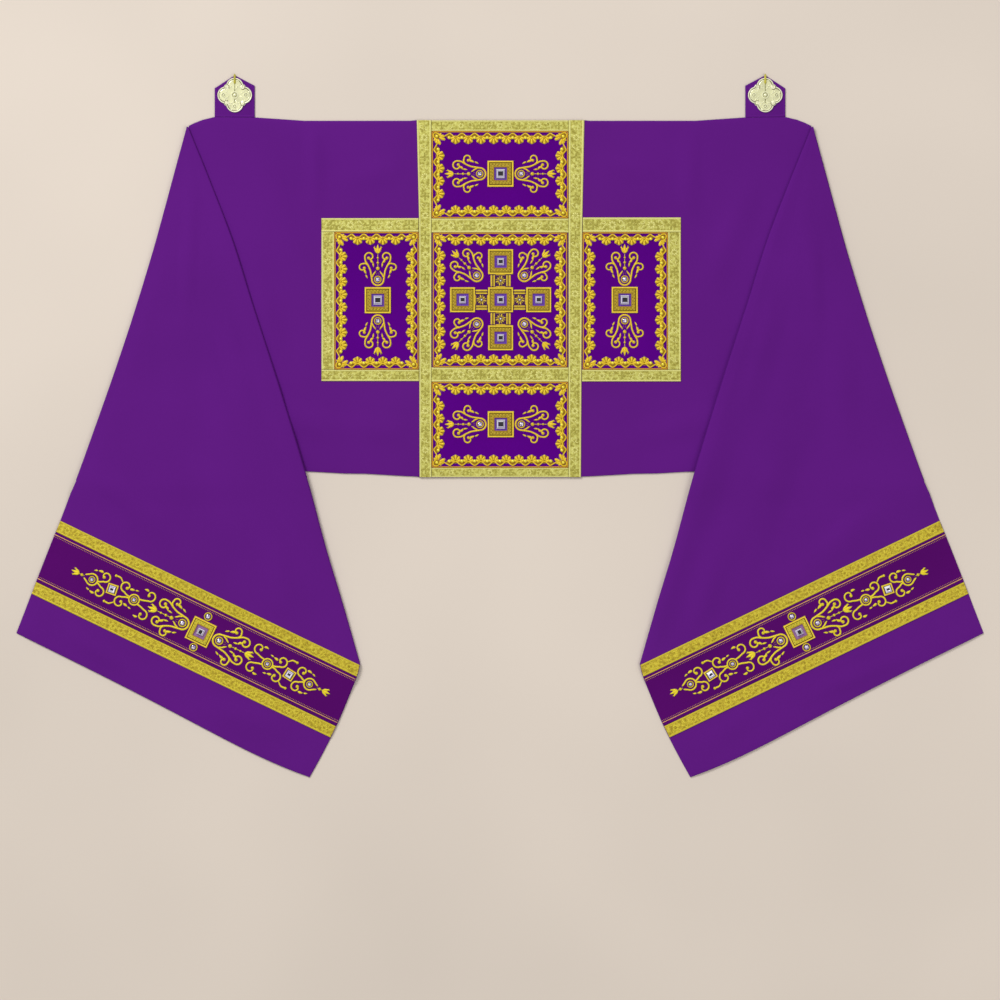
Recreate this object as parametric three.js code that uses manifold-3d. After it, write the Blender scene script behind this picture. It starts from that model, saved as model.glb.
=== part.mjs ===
// Humeral veil laid out flat: a long violet strip with a jewelled, embroidered middle and two folded ends.
// Millimetres. X runs to the right, Y up the garment and Z up from the surface that it lies on.
// "Across" is the distance from the middle line, and "down" the distance below the strip's top edge.

import * as THREE from 'three';
import Module from 'manifold-3d';
import { mergeVertices } from 'three/addons/utils/BufferGeometryUtils.js';

const wasm = await Module();
wasm.setup();

// Thicknesses of the cloth and of what is sewn on it
const CLOTH = 2.0;
const PANEL = 1.2;
const BRAID_EDGE = 1.1;
const BRAID_CROWN = 1.7;
const BRAID_SHOULDER = 0.18;
const BORDER = 1.0;
const GAP = 0.3;
const SEAM = 0.15;
const LAYER = CLOTH + GAP;

// Heights of the things that lie on each other
const ON_CLOTH = CLOTH + GAP;
const ON_PANEL = ON_CLOTH + PANEL + GAP;

// The middle stretch of the strip, 600 mm wide, with its edges as they lie
const TOP_EDGE = [
  { across: 0, down: -1 },
  { across: 141, down: -1 },
  { across: 151, down: 0 },
  { across: 328, down: 0 },
  { across: 378, down: -3.4 },
  { across: 412.2, down: -5.7 },
  { across: 479.3, down: -6.5 },
  { across: 499.2, down: -1.7 },
  { across: 512.6, down: 3.4 },
  { across: 522.4, down: 8.2 },
];
const BOTTOM_EDGE = [
  { across: 0, down: 599 },
  { across: 135.8, down: 599 },
  { across: 137.8, down: 597.8 },
  { across: 160, down: 596.9 },
  { across: 200, down: 594.6 },
  { across: 225, down: 593.1 },
  { across: 262, down: 592.6 },
  { across: 300, down: 590.4 },
  { across: 330, down: 589 },
  { across: 704, down: 595 },
];

// Each end is folded twice at one point on the top edge, and its front stretch then points down and outwards.
const APEX = { across: 526.1, down: 10.1 };
const END_TURN = THREE.MathUtils.degToRad(25.7);
const FOOT_DOWN = 605.7;
const CORNER_DOWN = 686.9;
// Where the second fold leaves the middle stretch, and where the folded-under layer ends at the outer side
const CROSSING_DOWN = 435.8;
const HIDDEN_FOOT_DOWN = 616;

// Sections of the front stretch, measured along the end from the apex. "Outer" and "inner" are its two sides,
// "lift" is how far the fold springs up, and "roll" is the height of the soft roll beside the fold.
const FOLDED_PART = [
  { down: 0, outer: 0, inner: 3.4, lift: 0, roll: 0 },
  { down: 63.5, outer: 11.7, inner: 73.4, lift: 0.5, roll: 0.3 },
  { down: 137.6, outer: 25.6, inner: 152, lift: 1.2, roll: 0.8 },
  { down: 214.6, outer: 39.5, inner: 224.5, lift: 1.8, roll: 1.2 },
  { down: 329.8, outer: 57.1, inner: 334.1, lift: 2.8, roll: 1.8 },
  { down: 435.8, outer: 70.5, inner: 431.6, lift: 3.5, roll: 2.2 },
  { down: 538.5, outer: 81.7, inner: 520.3, lift: 3.4, roll: 2 },
  { down: 605.7, outer: 88.6, inner: 581.8, lift: 2.6, roll: 1.6 },
  { down: 686.9, outer: 95.2, inner: 654, lift: 1, roll: 0.8 },
];
const STRAIGHT_PART = [
  { down: 686.9, outer: 95.2, inner: 654, lift: 1, roll: 0.8 },
  { down: 703, outer: 96.2, inner: 657.8, lift: 0.6, roll: 0.5 },
  { down: 728, outer: 97.8, inner: 659.6, lift: 0, roll: 0 },
  { down: 789.9, outer: 102.4, inner: 662.9, lift: 0, roll: 0 },
  { down: 840, outer: 106.7, inner: 662.6, lift: 0, roll: 0 },
  { down: 891, outer: 110.8, inner: 659.8, lift: 0, roll: 0 },
];

// Where the sections lie: over the middle stretch, over its edge down to the corner, then over the lower edge
// of the folded-under layer. Each number is a share of the way from one of those lines to the next.
const OVER_MIDDLE = [0.05, 0.15, 0.27, 0.4, 0.52, 0.64, 0.76, 0.88, 1];
const OVER_ITS_EDGE = [0.18, 0.38, 0.6, 0.8, 1];
const OVER_HIDDEN_EDGE = [0.35, 0.7];

// Lines across the straight part, from the upper braid to the hem
const UPPER_BRAID = { top: 688.2, bottom: 708.6 };
const LOWER_BRAID = { top: 798.5, bottom: 820 };
const HEM_DOWN = 890.8;
const STRAIGHT_SECTIONS = [688.2, 708.6, 728, 748, 798.5, 820, 855, HEM_DOWN];
const HEM_SLANT = 4.5;
const HEM_BOW = 6;

// The rolled fold edge, the soft roll beside it and the thin sewn edge of the strip
const FOLD_NOSE = 2.4;
const FOLD_HEEL = 3;
const THIN_EDGE = { width: 1.1, top: 0.65 * CLOTH, under: 0.1 * CLOTH };
const NOSE_ROUNDNESS = 0.97;
const LIFT_REACH = 60;
const ROLL_PLACE = 105;
const ROLL_REACH = 48;
const STATIONS_BESIDE_FOLD = [155, 130, 105, 80, 60, 33, 15, 0];
const EVEN_CELLS = 5;
const FULL_SPREAD_WIDTH = 230;
const EDGE_IN_FROM_FOLD = 1.5;

// Where a layer passes over the edge of one below it, it bridges a little and then slopes down.
const BRIDGE = 14;
const SLOPE = 45;

// Tabs on the top edge, and the metal clasps on them
const TAB = { outer: 479.3, inner: 412.2, point: 445.6, outerTop: -54.6, innerTop: -59, tip: -76.5 };
const TAB_BEVEL = 0.4;
const CLASP = { across: 445.5, down: -42.9, lobe: 14.8, lobeOut: 14.5, rim: 2.4 };
const CLASP_BOSS = { curl: 4, curlOut: 19, ring: 3.2, ringOut: 19, centre: 3.8, bevel: 0.7 };
const CLASP_HEIGHT = { bossFoot: 0.4, field: 1.5, rim: 2.4, boss: 2.9 };
const CLASP_BEVEL = 0.6;
const CLASP_SIDES = { lobe: 20, boss: 8 };
const CLASP_HOOK = { width: 3.8, bottom: 20, top: 36.1, under: 1, over: 3.4 };

// Panels of the middle, in the lie of the garment
const PANELS = [
  { name: 'centre', left: -113, right: 113, top: 188.2, bottom: 414.2, fansAcross: 8, fansDown: 8 },
  { name: 'top', left: -114.7, right: 114.7, top: 17.8, bottom: 163.9, fansAcross: 8, fansDown: 4 },
  { name: 'bottom', left: -114.7, right: 114.7, top: 438.9, bottom: 582.7, fansAcross: 8, fansDown: 4 },
  { name: 'left', left: -278, right: -136.5, top: 187.1, bottom: 418, fansAcross: 4, fansDown: 8 },
  { name: 'right', left: 138.8, right: 282, top: 187.6, bottom: 418, fansAcross: 4, fansDown: 8 },
];

// Braid of the middle: lengths that run across, and lengths that run down
const BRAIDS_ACROSS = [
  { name: 'braid_across_top', left: -115, right: 115, top: -0.8, bottom: 17.8 },
  { name: 'braid_across_upper', left: -115, right: 115, top: 163.9, bottom: 188.2 },
  { name: 'braid_across_lower', left: -115, right: 115, top: 414.2, bottom: 438.9 },
  { name: 'braid_across_bottom', left: -115, right: 115, top: 582.7, bottom: 598.8 },
  { name: 'braid_left_top', left: -300, right: -136.6, top: 163.5, bottom: 187.1 },
  { name: 'braid_left_bottom', left: -300, right: -136, top: 418, bottom: 437.6 },
  { name: 'braid_right_top', left: 139, right: 303.9, top: 162.3, bottom: 187.6 },
  { name: 'braid_right_bottom', left: 137.5, right: 303.9, top: 418, bottom: 438.2 },
];
const BRAIDS_DOWN = [
  { name: 'braid_left_outer', left: -300, right: -278, top: 187.1, bottom: 418 },
  { name: 'braid_right_outer', left: 282, right: 303.9, top: 187.6, bottom: 418 },
];
const UPRIGHT_BRAIDS = [
  { name: 'braid_upright_left', side: -1, inner: 115, outer: [140, 136.2, 135.3] },
  { name: 'braid_upright_right', side: 1, inner: 115, outer: [142, 138.6, 136.1] },
];
const UPRIGHT_STATIONS = [-0.8, 163, 598.8];

// Scalloped border: fans between beads, and a wider fan at each corner
const BORDER_INSET = 0.6;
const SCALLOP = { pitch: 21.3, notch: 14.5, tip: 21, halfWidth: 9.2, cornerNotch: 27, cornerTip: 21.5 };
const FAN_POINTS = [-1, -0.7, 0, 0.7, 1];

// Square settings, each with a raised rim, a sunk bed and a cut stone
const SETTING = { side: 42, rim: 2.6, bed: 19, stone: 13.5, table: 7, chamfer: 1 };
const SETTING_HEIGHT = { edge: 1.4, rim: 2.6, field: 1.9, bed: 1.1, girdle: 3, table: 5 };
const SMALL_SETTING_SIDE = 18;
const CROSS_PITCH = 63.9;
const CROSS_CENTRE = { across: 1, down: 300.9 };
const CROSS_BAR = { width: 34, height: 1.6 };
const PANEL_SETTING_SIDE = 44;
const PANEL_SETTINGS = [
  { name: 'top', across: 0.8, down: 89.4 },
  { name: 'bottom', across: 1.3, down: 509.9 },
  { name: 'left', across: -205.2, down: 301.7 },
  { name: 'right', across: 209.4, down: 301.2 },
];
const BAND_SETTING = { across: 389.4, down: 754.2, side: 41 };
const BAND_SMALL_SETTING_OUT = 165;
const BAND_SMALL_SETTING_TURN = THREE.MathUtils.degToRad(7);

const material = {
  ground: cloth('ground', 0x5c187d, 0.62),
  panel: cloth('panel', 0x540080, 0.7),
  band: cloth('band', 0x52085f, 0.7),
  braid: cloth('braid', 0xc3ba5c, 0.55),
  gold: cloth('gold thread', 0xddb420, 0.45),
  clasp: new THREE.MeshStandardMaterial({ color: 0xeceab0, roughness: 0.3, metalness: 0.85 }),
};

function cloth(name, color, roughness) {
  return new THREE.MeshStandardMaterial({ name, color, roughness, metalness: 0 });
}

// Values and slopes of the tables

function slopeAt(rows, station, column, index) {
  const before = rows[Math.max(index - 1, 0)];
  const after = rows[Math.min(index + 1, rows.length - 1)];
  return (after[column] - before[column]) / (after[station] - before[station]);
}

function rowBefore(rows, station, at) {
  let index = 0;
  while (index < rows.length - 2 && rows[index + 1][station] <= at) {
    index += 1;
  }
  return index;
}

// A smooth curve through the rows of a table
function smoothValue(rows, column, down) {
  const index = rowBefore(rows, 'down', down);
  const [start, end] = [rows[index], rows[index + 1]];
  const span = end.down - start.down;
  const t = (down - start.down) / span;
  const startSlope = slopeAt(rows, 'down', column, index) * span;
  const endSlope = slopeAt(rows, 'down', column, index + 1) * span;
  const startPart = start[column] * (2 * t ** 3 - 3 * t ** 2 + 1) + startSlope * (t ** 3 - 2 * t ** 2 + t);
  const endPart = end[column] * (3 * t ** 2 - 2 * t ** 3) + endSlope * (t ** 3 - t ** 2);
  return startPart + endPart;
}

// A straight line between the rows of an edge table
function edgeDown(rows, across) {
  const index = rowBefore(rows, 'across', across);
  const [start, end] = [rows[index], rows[index + 1]];
  const t = (across - start.across) / (end.across - start.across);
  return THREE.MathUtils.lerp(start.down, end.down, t);
}

function endValue(column, down) {
  return smoothValue(down <= CORNER_DOWN ? FOLDED_PART : STRAIGHT_PART, column, down);
}

// Rises from 0 to 1 and back over one reach to each side
function bump(distance, reach) {
  const t = Math.min(Math.abs(distance) / reach, 1);
  return 0.5 + 0.5 * Math.cos(Math.PI * t);
}

// 1 up to the bridge past an edge, then down to 0 at the foot of the slope
function held(pastEdge) {
  return 1 - THREE.MathUtils.smoothstep(pastEdge, BRIDGE, BRIDGE + SLOPE);
}

// Closed bodies

// One closed body with merged points, no empty triangles and its faces pointing out
function closedBody(geometry) {
  const bare = geometry.clone();
  bare.deleteAttribute('normal');
  bare.deleteAttribute('uv');
  const merged = mergeVertices(bare);
  const position = merged.getAttribute('position');
  const source = merged.getIndex().array;
  const [a, b, c] = [new THREE.Vector3(), new THREE.Vector3(), new THREE.Vector3()];
  const kept = [];
  let volume = 0;
  for (let i = 0; i < source.length; i += 3) {
    const [ia, ib, ic] = [source[i], source[i + 1], source[i + 2]];
    if (ia !== ib && ib !== ic && ic !== ia) {
      kept.push(ia, ib, ic);
      a.fromBufferAttribute(position, ia);
      b.fromBufferAttribute(position, ib);
      c.fromBufferAttribute(position, ic);
      volume += a.dot(b.cross(c)) / 6;
    }
  }
  merged.setIndex(volume < 0 ? kept.reverse() : kept);
  merged.computeVertexNormals();
  return merged;
}

function toManifold(geometry) {
  const body = closedBody(geometry);
  const vertProperties = new Float32Array(body.getAttribute('position').array);
  const triVerts = new Uint32Array(body.getIndex().array);
  return new wasm.Manifold(new wasm.Mesh({ numProp: 3, vertProperties, triVerts }));
}

function fromManifold(manifold) {
  const mesh = manifold.getMesh();
  const geometry = new THREE.BufferGeometry();
  geometry.setAttribute('position', new THREE.BufferAttribute(new Float32Array(mesh.vertProperties), 3));
  geometry.setIndex(Array.from(mesh.triVerts));
  geometry.computeVertexNormals();
  return geometry;
}

// A wall from a grid of points, each with its place in plan and the heights of its top and its underside
function wall(grid) {
  const rowCount = grid.length;
  const columnCount = grid[0].length;
  const underStart = rowCount * columnCount;
  const points = grid.flat();
  const positions = [
    ...points.flatMap(({ x, y, top }) => [x, y, top]),
    ...points.flatMap(({ x, y, under }) => [x, y, under]),
  ];
  const at = (row, column) => row * columnCount + column;
  const indices = [];
  const quad = (a, b, c, d) => indices.push(a, b, c, a, c, d);
  for (let row = 0; row + 1 < rowCount; row += 1) {
    for (let column = 0; column + 1 < columnCount; column += 1) {
      const [a, b] = [at(row, column), at(row + 1, column)];
      const [c, d] = [at(row + 1, column + 1), at(row, column + 1)];
      quad(a, b, c, d);
      indices.push(underStart + a, underStart + c, underStart + b);
      indices.push(underStart + a, underStart + d, underStart + c);
    }
  }
  const side = (a, b) => quad(a, b, underStart + b, underStart + a);
  for (let row = 0; row + 1 < rowCount; row += 1) {
    side(at(row + 1, 0), at(row, 0));
    side(at(row, columnCount - 1), at(row + 1, columnCount - 1));
  }
  for (let column = 0; column + 1 < columnCount; column += 1) {
    side(at(0, column), at(0, column + 1));
    side(at(rowCount - 1, column + 1), at(rowCount - 1, column));
  }
  const geometry = new THREE.BufferGeometry();
  geometry.setAttribute('position', new THREE.Float32BufferAttribute(positions, 3));
  geometry.setIndex(indices);
  return closedBody(geometry);
}

function mirrored(geometry) {
  const copy = geometry.clone();
  copy.scale(-1, 1, 1);
  return closedBody(copy);
}

// A turned body; four sides make a square one, whose profile gives half of its side.
function turned(profile, sides) {
  const spread = sides === 4 ? Math.SQRT2 : 1;
  const points = profile.map(([radius, height]) => new THREE.Vector2(radius * spread, height));
  const geometry = new THREE.LatheGeometry(points, sides, Math.PI / 4);
  geometry.rotateX(Math.PI / 2);
  return closedBody(geometry);
}

// The scene graph

const veil = new THREE.Group();

function add(parent, name, geometry, surface, place = {}) {
  const mesh = new THREE.Mesh(geometry, surface.clone());
  mesh.name = name;
  mesh.position.set(place.x ?? 0, place.y ?? 0, place.z ?? 0);
  mesh.rotation.z = place.turn ?? 0;
  parent.add(mesh);
}

// Middle stretch of the ground cloth, from the folded edge on one side to that on the other

function foldedEdge(part) {
  const down = part * FOOT_DOWN;
  const outer = endValue('outer', down);
  return {
    across: APEX.across - outer * Math.cos(END_TURN) + down * Math.sin(END_TURN),
    down: APEX.down + outer * Math.sin(END_TURN) + down * Math.cos(END_TURN),
  };
}

function middleStretch() {
  const topEnd = TOP_EDGE.at(-1).across;
  const bottomEnd = BOTTOM_EDGE.at(-1).across;
  const inFromFold = APEX.across - topEnd;
  const ofTop = TOP_EDGE.map((row) => row.across);
  const ofBottom = BOTTOM_EDGE.slice(1, -1).map((row) => (row.across / bottomEnd) * topEnd);
  const half = [...ofTop, ...ofBottom].sort((one, other) => one - other);
  const stations = [...half.slice(1).reverse().map((across) => -across), ...half];
  const top = foldedEdge(0);
  const foot = foldedEdge(1);
  return wall([0, ...OVER_MIDDLE].map((part) => {
    const edge = foldedEdge(part);
    const fall = (edge.down - top.down) / (foot.down - top.down);
    return stations.map((station) => {
      const share = Math.abs(station) / topEnd;
      const topDown = edgeDown(TOP_EDGE, Math.abs(station));
      const bottomDown = edgeDown(BOTTOM_EDGE, share * bottomEnd);
      return {
        x: Math.sign(station) * share * (edge.across - inFromFold),
        y: -THREE.MathUtils.lerp(topDown, bottomDown, fall),
        top: CLOTH,
        under: 0,
      };
    });
  }));
}

// Folded ends. Their own frame has its origin at the apex, X along the sections and Y against "down".

// Sections between two lines, each line given by how far down its outer and its inner end lie
function sectionsBetween(from, to, shares, folded) {
  return shares.map((share) => ({
    outerDown: THREE.MathUtils.lerp(from.outer, to.outer, share),
    innerDown: THREE.MathUtils.lerp(from.inner, to.inner, share),
    folded,
  }));
}

const AT_APEX = { outer: 0, inner: 0 };
const MIDDLE_EDGE = { outer: FOOT_DOWN, inner: CROSSING_DOWN };
const HIDDEN_EDGE = { outer: HIDDEN_FOOT_DOWN, inner: CORNER_DOWN };
const BRAID_TOP = { outer: UPPER_BRAID.top, inner: UPPER_BRAID.top };

const FOLDED_SECTIONS = [
  ...sectionsBetween(AT_APEX, MIDDLE_EDGE, OVER_MIDDLE, true),
  ...sectionsBetween(MIDDLE_EDGE, HIDDEN_EDGE, OVER_ITS_EDGE, true),
];
const END_SECTIONS = [
  ...FOLDED_SECTIONS,
  ...sectionsBetween(HIDDEN_EDGE, BRAID_TOP, OVER_HIDDEN_EDGE, false),
  ...STRAIGHT_SECTIONS.map((down) => ({ outerDown: down, innerDown: down, folded: false })),
];

// How far a point lies below one of those lines
function pastLine(line, x, down) {
  const foot = { x: endValue('outer', line.outer), down: line.outer };
  const corner = { x: endValue('inner', line.inner), down: line.inner };
  const length = Math.hypot(corner.x - foot.x, corner.down - foot.down);
  const drop = (corner.x - foot.x) * (down - foot.down) - (corner.down - foot.down) * (x - foot.x);
  return drop / length;
}

// Distances along a section from its outer end, close together beside the fold and even elsewhere
function sectionStations(width) {
  const spread = Math.min(1, width / FULL_SPREAD_WIDTH);
  const besideFold = STATIONS_BESIDE_FOLD.map((station) => width - FOLD_HEEL - station * spread);
  const start = FOLD_HEEL + 1;
  const even = [];
  for (let cell = 0; cell < EVEN_CELLS; cell += 1) {
    even.push(THREE.MathUtils.lerp(start, besideFold[0], cell / EVEN_CELLS));
  }
  return { spread, stations: [...even, ...besideFold] };
}

// Half-round edge: the share of its half height at a distance from its tip
function noseShare(fromTip) {
  const t = NOSE_ROUNDNESS * (1 - fromTip / FOLD_NOSE);
  return Math.sqrt(1 - t * t);
}

function sectionFrame(section) {
  const start = { x: endValue('outer', section.outerDown), down: section.outerDown };
  const end = { x: endValue('inner', section.innerDown), down: section.innerDown };
  const width = Math.hypot(end.x - start.x, end.down - start.down);
  const atStation = (station) => ({
    x: THREE.MathUtils.lerp(start.x, end.x, station / width),
    down: THREE.MathUtils.lerp(start.down, end.down, station / width),
  });
  return { width, atStation };
}

function hemFall(section, station, width) {
  if (section.outerDown < HEM_DOWN) {
    return 0;
  }
  const share = station / width;
  return HEM_SLANT * share + HEM_BOW * Math.sin(Math.PI * share ** 3);
}

function nose(point, fromTip, top, low) {
  const half = ((top - low) / 2) * noseShare(fromTip);
  return { ...point, top: (top + low) / 2 + half, under: (top + low) / 2 - half };
}

// The front stretch: it rises over what is folded under it, and its inner side is the rounded second fold.
function frontGrid() {
  return END_SECTIONS.map((section) => {
    const { width, atStation } = sectionFrame(section);
    const { spread, stations } = sectionStations(width);
    const lift = Math.max(endValue('lift', section.innerDown), 0);
    const roll = Math.max(endValue('roll', section.innerDown), 0);
    const underAt = (station) => {
      const { x, down } = atStation(station);
      const toFold = (width - FOLD_HEEL - station) / spread;
      const foldRise = lift * bump(Math.max(toFold, 0), LIFT_REACH);
      const rollRise = roll * bump(toFold - ROLL_PLACE, ROLL_REACH);
      const overMiddle = held(pastLine(MIDDLE_EDGE, x, down));
      const overHidden = held(pastLine(HIDDEN_EDGE, x, down));
      return LAYER * (overMiddle + overHidden) + foldRise + rollRise;
    };
    const pointAt = (station) => {
      const { x, down } = atStation(station);
      return { x, y: -(down + hemFall(section, station, width)) };
    };
    const wallAt = (station) => {
      const under = underAt(station);
      return { ...pointAt(station), top: under + CLOTH, under };
    };
    const edge = section.folded ? EDGE_IN_FROM_FOLD : 0;
    const outerUnder = underAt(edge);
    const thin = {
      ...pointAt(edge),
      top: outerUnder + THIN_EDGE.top,
      under: outerUnder + THIN_EDGE.under,
    };
    const tip = atStation(width);
    const low = section.folded ? LAYER * held(pastLine(MIDDLE_EDGE, tip.x, tip.down)) : 0;
    const top = underAt(width) + CLOTH;
    return [
      thin,
      wallAt(edge + THIN_EDGE.width),
      ...stations.map(wallAt),
      ...[FOLD_NOSE, FOLD_NOSE / 2, 0].map((fromTip) => nose(pointAt(width - fromTip), fromTip, top, low)),
    ];
  });
}

// The layer folded under it, with the rounded first fold at its outer side, around the middle stretch's edge
function hiddenGrid() {
  return FOLDED_SECTIONS.map((section) => {
    const { width, atStation } = sectionFrame(section);
    const { stations } = sectionStations(width);
    const underAt = (station) => {
      const { x, down } = atStation(station);
      return LAYER * held(pastLine(MIDDLE_EDGE, x, down));
    };
    const pointAt = (station) => {
      const { x, down } = atStation(station);
      return { x, y: -down };
    };
    const wallAt = (station) => {
      const under = underAt(station);
      return { ...pointAt(station), top: under + CLOTH, under };
    };
    const top = underAt(0) + CLOTH;
    const end = width - FOLD_HEEL - GAP;
    return [
      ...[0, FOLD_NOSE / 2, FOLD_NOSE].map((fromTip) => nose(pointAt(fromTip), fromTip, top, 0)),
      wallAt(FOLD_HEEL),
      ...stations.slice(0, -1).map(wallAt),
      wallAt(end),
    ];
  });
}

// What is sewn on the front stretch is made from its points, moved out.

const BAND_COLUMNS = { first: 1, last: -2 };

function between(near, far, share) {
  return {
    x: THREE.MathUtils.lerp(near.x, far.x, share),
    y: THREE.MathUtils.lerp(near.y, far.y, share),
    top: THREE.MathUtils.lerp(near.top, far.top, share),
  };
}

// Grid rows of the front stretch between two of its lines, without the rounded edges at both sides
function frontRows(front, topDown, bottomDown) {
  const before = END_SECTIONS.length - STRAIGHT_SECTIONS.length;
  const first = before + STRAIGHT_SECTIONS.indexOf(topDown);
  const last = before + STRAIGHT_SECTIONS.indexOf(bottomDown);
  return front.slice(first, last + 1).map((row) => row.slice(BAND_COLUMNS.first, BAND_COLUMNS.last));
}

function moveOut(point, thickness) {
  return { x: point.x, y: point.y, top: point.top + GAP + thickness, under: point.top + GAP };
}

function bandCloth(front) {
  const rows = frontRows(front, UPPER_BRAID.bottom, LOWER_BRAID.top);
  const inFromSeam = (row, next) => row.map((point, column) => {
    const share = SEAM / Math.abs(next[column].y - point.y);
    return between(point, next[column], share);
  });
  const seamed = [...rows];
  seamed[0] = inFromSeam(rows[0], rows[1]);
  seamed[rows.length - 1] = inFromSeam(rows.at(-1), rows.at(-2));
  return wall(seamed.map((row) => row.map((point) => moveOut(point, PANEL))));
}

// Section of a braid: thin at its two edges and full in the middle
function braidSection(width) {
  return [
    { share: SEAM / width, height: BRAID_EDGE },
    { share: BRAID_SHOULDER, height: BRAID_CROWN },
    { share: 1 - BRAID_SHOULDER, height: BRAID_CROWN },
    { share: 1 - SEAM / width, height: BRAID_EDGE },
  ];
}

function bandBraid(front, line) {
  const [upper, lower] = frontRows(front, line.top, line.bottom);
  const section = braidSection(line.bottom - line.top);
  return wall(section.map(({ share, height }) => upper.map((point, column) => (
    moveOut(between(point, lower[column], share), height)
  ))));
}

// Tabs and clasps

function tabCloth() {
  const shape = new THREE.Shape([
    [-TAB.outer, -(edgeDown(TOP_EDGE, TAB.outer) - GAP)],
    [-TAB.inner, -(edgeDown(TOP_EDGE, TAB.inner) - GAP)],
    [-TAB.inner, -TAB.innerTop],
    [-TAB.point, -TAB.tip],
    [-TAB.outer, -TAB.outerTop],
  ].map(([x, y]) => new THREE.Vector2(x, y)));
  const geometry = new THREE.ExtrudeGeometry(shape, {
    depth: CLOTH - 2 * TAB_BEVEL,
    bevelThickness: TAB_BEVEL,
    bevelSize: TAB_BEVEL,
    bevelOffset: -TAB_BEVEL,
    bevelSegments: 1,
  });
  geometry.translate(0, 0, TAB_BEVEL);
  return closedBody(geometry);
}

// A quatrefoil of four lobes with a raised rim, curls between the lobes, ring bosses and a hook
function claspMetal() {
  const placed = (geometry, x, y) => toManifold(geometry.clone().translate(x, y, 0));
  const quarterTurns = [0, 1, 2, 3].map((quarter) => (quarter * Math.PI) / 2);
  const around = (geometry, out, angles) => angles.map((angle) => (
    placed(geometry, out * Math.cos(angle), out * Math.sin(angle))
  ));
  const disc = (radius, low, high, bevel, sides) => turned([[0, low], [radius, low], [radius, high - bevel],
    [radius - bevel, high], [0, high]], sides);
  const { bossFoot, field, rim, boss: bossTop } = CLASP_HEIGHT;
  const lobe = disc(CLASP.lobe, 0, rim, CLASP_BEVEL, CLASP_SIDES.lobe);
  const bed = disc(CLASP.lobe - CLASP.rim, field, 2 * rim, CLASP_BEVEL, CLASP_SIDES.lobe);
  const boss = (radius) => disc(radius, bossFoot, bossTop, CLASP_BOSS.bevel, CLASP_SIDES.boss);
  const lobes = around(lobe, CLASP.lobeOut, quarterTurns);
  const beds = around(bed, CLASP.lobeOut, quarterTurns);
  const diagonals = quarterTurns.map((angle) => angle + Math.PI / 4);
  const belowHook = quarterTurns.filter((angle) => angle !== Math.PI / 2);
  const curls = around(boss(CLASP_BOSS.curl), CLASP_BOSS.curlOut, diagonals);
  const rings = around(boss(CLASP_BOSS.ring), CLASP_BOSS.ringOut, belowHook);
  const centre = placed(boss(CLASP_BOSS.centre), 0, 0);
  const hook = new THREE.BoxGeometry(CLASP_HOOK.width, CLASP_HOOK.top - CLASP_HOOK.bottom,
    CLASP_HOOK.over - CLASP_HOOK.under);
  hook.translate(0, (CLASP_HOOK.top + CLASP_HOOK.bottom) / 2, (CLASP_HOOK.over + CLASP_HOOK.under) / 2);
  const join = (bodies) => bodies.reduce((sum, body) => sum.add(body));
  const plate = join(lobes).subtract(join(beds));
  return fromManifold(join([plate, ...curls, ...rings, centre, toManifold(hook)]));
}

// Panels, braid and borders of the middle

function rectangle({ left, right, top, bottom }, thickness) {
  const corner = (x, down) => ({ x, y: -down, top: ON_CLOTH + thickness, under: ON_CLOTH });
  return wall([
    [corner(left + SEAM, top + SEAM), corner(right - SEAM, top + SEAM)],
    [corner(left + SEAM, bottom - SEAM), corner(right - SEAM, bottom - SEAM)],
  ]);
}

function braidAcross({ left, right, top, bottom }) {
  return wall(braidSection(bottom - top).map(({ share, height }) => [left + SEAM, right - SEAM].map((x) => (
    { x, y: -THREE.MathUtils.lerp(top, bottom, share), top: ON_CLOTH + height, under: ON_CLOTH }
  ))));
}

function braidDown({ left, right, top, bottom }) {
  const section = braidSection(right - left);
  return wall([top + SEAM, bottom - SEAM].map((down) => section.map(({ share, height }) => (
    { x: THREE.MathUtils.lerp(left, right, share), y: -down, top: ON_CLOTH + height, under: ON_CLOTH }
  ))));
}

function uprightBraid({ side, inner, outer }) {
  return wall(UPRIGHT_STATIONS.map((down, row) => {
    const width = outer[row] - inner;
    return braidSection(width).map(({ share, height }) => (
      { x: side * (inner + share * width), y: -down, top: ON_CLOTH + height, under: ON_CLOTH }
    ));
  }));
}

// Points of one side of the scalloped line, as distances along the side and in from it
function scallopedSide(length, fans) {
  const first = (length - (fans - 1) * SCALLOP.pitch) / 2;
  const points = [];
  for (let fan = 0; fan < fans; fan += 1) {
    const middle = first + fan * SCALLOP.pitch;
    FAN_POINTS.forEach((share) => {
      const rise = (SCALLOP.tip - SCALLOP.notch) * Math.sqrt(1 - share * share);
      points.push([middle + share * SCALLOP.halfWidth, SCALLOP.notch + rise]);
    });
  }
  return points;
}

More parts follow.
